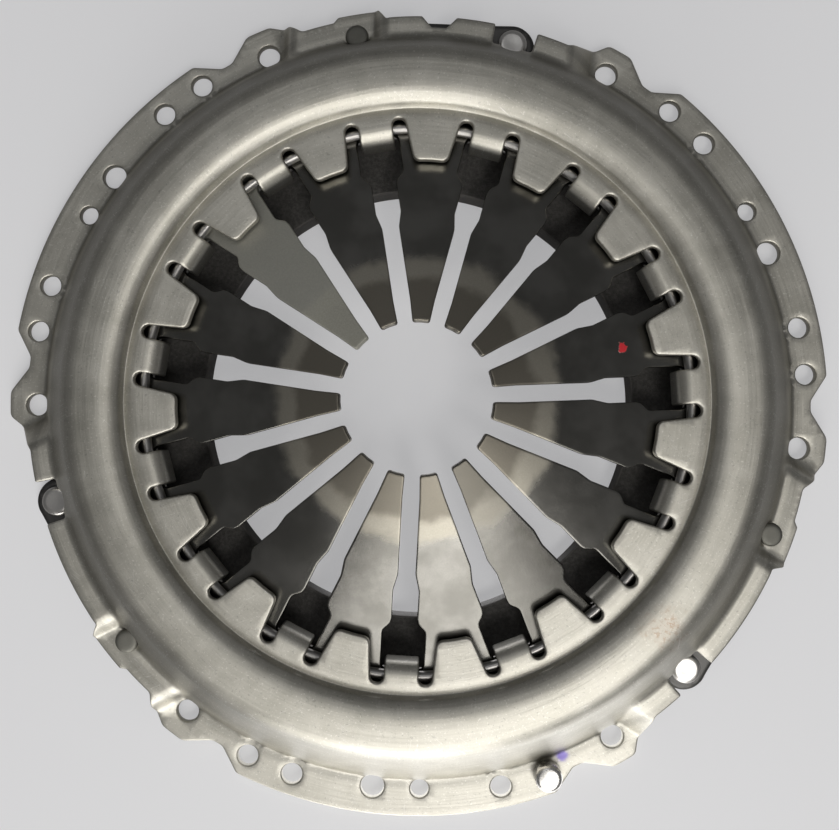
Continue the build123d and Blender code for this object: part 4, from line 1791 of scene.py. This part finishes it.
@dataclass
class FulcrumRings:
    """Two round wire rings that the spring rocks between."""

    radius: float = 101.2
    wire: float = 2.0
    heights: Pair = (30.95, 23.64)
    around: int = 240
    across: int = 20
    tone: Colour = (0.45, 0.44, 0.42)
    stain: Colour = (0.22, 0.21, 0.20)

    def build(self) -> bpy.types.Object:
        """Sweep the wire round both circles.

        Returns:
            The two rings as one piece.
        """
        grower = Grower("wire_rings")
        radius = grower.ask("Ring radius", "NodeSocketFloat", self.radius * MM)
        wire = grower.ask("Wire radius", "NodeSocketFloat", self.wire * MM)
        upper = grower.ask("Upper height", "NodeSocketFloat", self.heights[0] * MM)
        lower = grower.ask("Lower height", "NodeSocketFloat", self.heights[1] * MM)
        path = grower.node("GeometryNodeCurvePrimitiveCircle", Radius=radius, Resolution=self.around)
        section = grower.node("GeometryNodeCurvePrimitiveCircle", Radius=wire, Resolution=self.across)
        ring = grower.node("GeometryNodeCurveToMesh", Curve=path.outputs[0], Profile_Curve=section.outputs[0])
        both = grower.tree.nodes.new("GeometryNodeJoinGeometry")
        for height in (upper, lower):
            lift = grower.node("ShaderNodeCombineXYZ", Z=height)
            place = {"Geometry": ring.outputs[0], "Translation": lift.outputs[0]}
            moved = grower.node("GeometryNodeTransform", **place)
            grower.tree.links.new(moved.outputs[0], both.inputs[0])
        metal = PlainMetal("ring_wire", self.tone, self.stain, 0.28)
        piece = grower.grow(solid("fulcrum_rings", np.zeros((1, 3)), []), both.outputs[0], metal.material())
        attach(piece, Body.COVER.value)
        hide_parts("upper_fulcrum_ring", "lower_fulcrum_ring")
        return piece


@dataclass(frozen=True)
class RivetSet:
    """One kind of rivet, grown on its places; the seed fixes the turn of each."""

    name: str
    profile: tuple[Pair, ...]
    places: list[Pair]
    metal: PlainMetal
    body: Body
    nodes: list[str]
    seed: int
    edge_turn: float = 50.0

    def build(self) -> bpy.types.Object:
        """Grow the rivets and hand them to their body.

        Returns:
            The rivets as one piece.
        """
        points, faces = lathed(self.profile)
        master = solid(f"{self.name}_master", points, faces)
        grower = Grower(self.name)
        sprout = grower.ask("Geometry", "NodeSocketGeometry")
        rivet = grower.ask("Rivet", "NodeSocketObject", master)
        number = grower.ask("Seed", "NodeSocketInt", self.seed)
        shape = grower.node("GeometryNodeObjectInfo", Object=rivet)
        turn = grower.node("FunctionNodeRandomValue", {"data_type": "FLOAT"}, Seed=number)
        turn.inputs[3].default_value = 2 * math.pi
        spin = grower.node("ShaderNodeCombineXYZ", Z=turn.outputs[1])
        spread = grower.node(
            "GeometryNodeInstanceOnPoints",
            Points=sprout,
            Instance=shape.outputs["Geometry"],
            Rotation=spin.outputs[0],
        )
        seats = solid(self.name, np.array([(*place, 0.0) for place in self.places]), [])
        piece = grower.grow(seats, spread.outputs[0], self.metal.material())
        bpy.data.objects.remove(master)
        sharpen(piece, self.edge_turn)
        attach(piece, self.body.value)
        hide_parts(*self.nodes)
        return piece


@dataclass
class Rivets:
    """The rivets of the strap drive and the balance rivet, by radius and height from top to bottom."""

    balance_place: Pair = (152.5, -157.5)
    cover_profile: tuple[Pair, ...] = (
        (0, 13.5), (1.6, 13.52), (3.0, 13.5), (3.8, 13.35), (4.25, 13.0), (4.5, 12.3),
        (4.5, 11.55), (3.5, 11.5), (3.5, 5.1), (5.6, 5.1), (5.75, 4.6), (5.6, 3.2), (4.9, 2.75), (0, 2.7),
    )
    plate_profile: tuple[Pair, ...] = (
        (0, 7.75), (2.0, 7.7), (3.6, 7.85), (4.7, 7.8), (5.35, 7.4), (5.68, 6.7), (5.7, 5.4), (5.4, 4.92),
        (4.0, 4.9), (4.0, 0.5), (5.45, 0.4), (5.5, -1.2), (5.2, -1.5), (0, -1.5),
    )
    balance_profile: tuple[Pair, ...] = (
        (0, 12.5), (3.6, 12.46), (4.6, 12.2), (5.1, 11.6), (5.25, 10.8), (5.25, 4.6), (5.0, 4.06),
        (3.95, 4.0), (3.95, 0.4), (3.6, 0.05), (0, 0.05),
    )

    def build(self) -> list[bpy.types.Object]:
        """Make the three sets.

        Returns:
            The pieces.
        """
        grey = PlainMetal("cover_rivet", (0.27, 0.265, 0.235), (0.11, 0.108, 0.095), 0.5, 3.0, 0.05)
        bright = PlainMetal("plate_rivet", (0.70, 0.68, 0.65), (0.42, 0.41, 0.39), 0.26)
        turned_metal = PlainMetal("bright_rivet", (0.78, 0.76, 0.73), (0.55, 0.54, 0.52), 0.22, 1.2, 0.01)
        sets = [
            self._round_the_cover("cover_rivet", self.cover_profile, COVER_RIVET, grey, Body.COVER, 3),
            self._round_the_cover("plate_rivet", self.plate_profile, PLATE_RIVET, bright, Body.PLATE, 5),
            RivetSet(
                "balance_rivets", self.balance_profile, [polar(*self.balance_place)],
                turned_metal, Body.COVER, ["balance_rivet"], 7,
            ),
        ]
        return [rivets.build() for rivets in sets]

    @staticmethod
    def _round_the_cover(
        node: str, profile: tuple[Pair, ...], place: Pair, metal: PlainMetal, body: Body, seed: int
    ) -> RivetSet:
        """Rivets with one place in each strap section.

        Args:
            node: name of their CAD nodes, without the number.
            profile: radius and height of a rivet from top to bottom.
            place: radius and angle of the first.
            metal: their finish.
            body: the body they ride on.
            seed: fixes the turn of each.

        Returns:
            The set.
        """
        places = [polar(place[0], place[1] + turn) for turn in Sectors.straps()]
        nodes = [f"{node}_{n}" for n in range(1, SECTORS + 1)]
        return RivetSet(f"{node}s", profile, places, metal, body, nodes, seed)


# ---------------------------------------------------------------- ground, light and camera


@dataclass(frozen=True)
class Lamp:
    """A round area lamp that faces the middle; its azimuth is anticlockwise from +Y."""

    name: str
    azimuth: float
    elevation: float
    distance: float
    size: float
    power: float
    colour: Colour

    def hang(self) -> None:
        """Make the lamp and put it in its place."""
        light = bpy.data.lights.new(self.name, "AREA")
        light.shape, light.size, light.energy, light.color = "DISK", self.size * MM, self.power, self.colour
        lamp = bpy.data.objects.new(self.name, light)
        rise = math.radians(self.elevation)
        place = Vector((*polar(math.cos(rise), self.azimuth), math.sin(rise))) * self.distance * MM
        lamp.location = place
        lamp.rotation_euler = place.to_track_quat("Z", "Y").to_euler()
        bpy.context.scene.collection.objects.link(lamp)


@dataclass
class Studio:
    """Pale ground, soft light and the camera."""

    camera_place: Triple = (5.54, -17.98, 443.4)
    camera_turn: Triple = (1.7736, 0.5038, 3.2892)
    lens: float = 48.02
    sensor: float = 36.0
    clip: Pair = (0.01, 20.0)
    ground: float = -3.15
    ground_size: float = 6000.0
    world: Colour = (0.78, 0.785, 0.80)
    world_strength: float = 0.17
    lamps: tuple[Lamp, ...] = (
        Lamp("window", -170.0, 50.0, 1500.0, 1000.0, 7.5, (1.0, 0.985, 0.96)),
        Lamp("low_window", 178.0, 14.0, 1500.0, 950.0, 10.0, (1.0, 0.985, 0.96)),
        Lamp("ceiling", -142.0, 68.0, 1600.0, 380.0, 4.0, (1.0, 0.98, 0.95)),
        Lamp("back_fill", 20.0, 74.0, 1700.0, 700.0, 1.2, (0.97, 0.98, 1.0)),
    )

    def build(self) -> None:
        """Set the ground, the lamps, the world and the camera."""
        half = self.ground_size / 2
        plan = ((-half, -half), (half, -half), (half, half), (-half, half))
        corners = np.array([(x, y, self.ground) for x, y in plan])
        floor = dressed(solid("ground", corners, [(0, 1, 2, 3)]), Paper().material())
        for lamp in self.lamps:
            lamp.hang()
        scene = bpy.context.scene
        world = bpy.data.worlds.new("studio")
        world.use_nodes = True
        back = world.node_tree.nodes["Background"]
        back.inputs[0].default_value = (*self.world, 1.0)
        back.inputs[1].default_value = self.world_strength
        scene.world = world
        scene.view_settings.view_transform = "Standard"
        camera = bpy.data.cameras.new("camera")
        camera.lens, camera.sensor_width, camera.sensor_fit = self.lens, self.sensor, "HORIZONTAL"
        camera.clip_start, camera.clip_end = self.clip
        eye = bpy.data.objects.new("camera", camera)
        eye.location = Vector(self.camera_place) * MM
        eye.rotation_euler = [math.radians(angle) for angle in self.camera_turn]
        scene.collection.objects.link(eye)
        scene.camera = eye


def main() -> None:
    """Build every piece in order."""
    logging.basicConfig(level=logging.INFO, format="%(message)s")
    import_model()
    Studio().build()
    makers = (Cover(), DiaphragmSpring(), FulcrumRings(), PressurePlate(), StrapDrive(), Rivets())
    for maker in makers:
        made = maker.build()
        for piece in made if isinstance(made, list) else [made]:
            LOG.info("%s: %d faces", piece.name, len(piece.data.polygons))


if __name__ == "__main__":
    main()
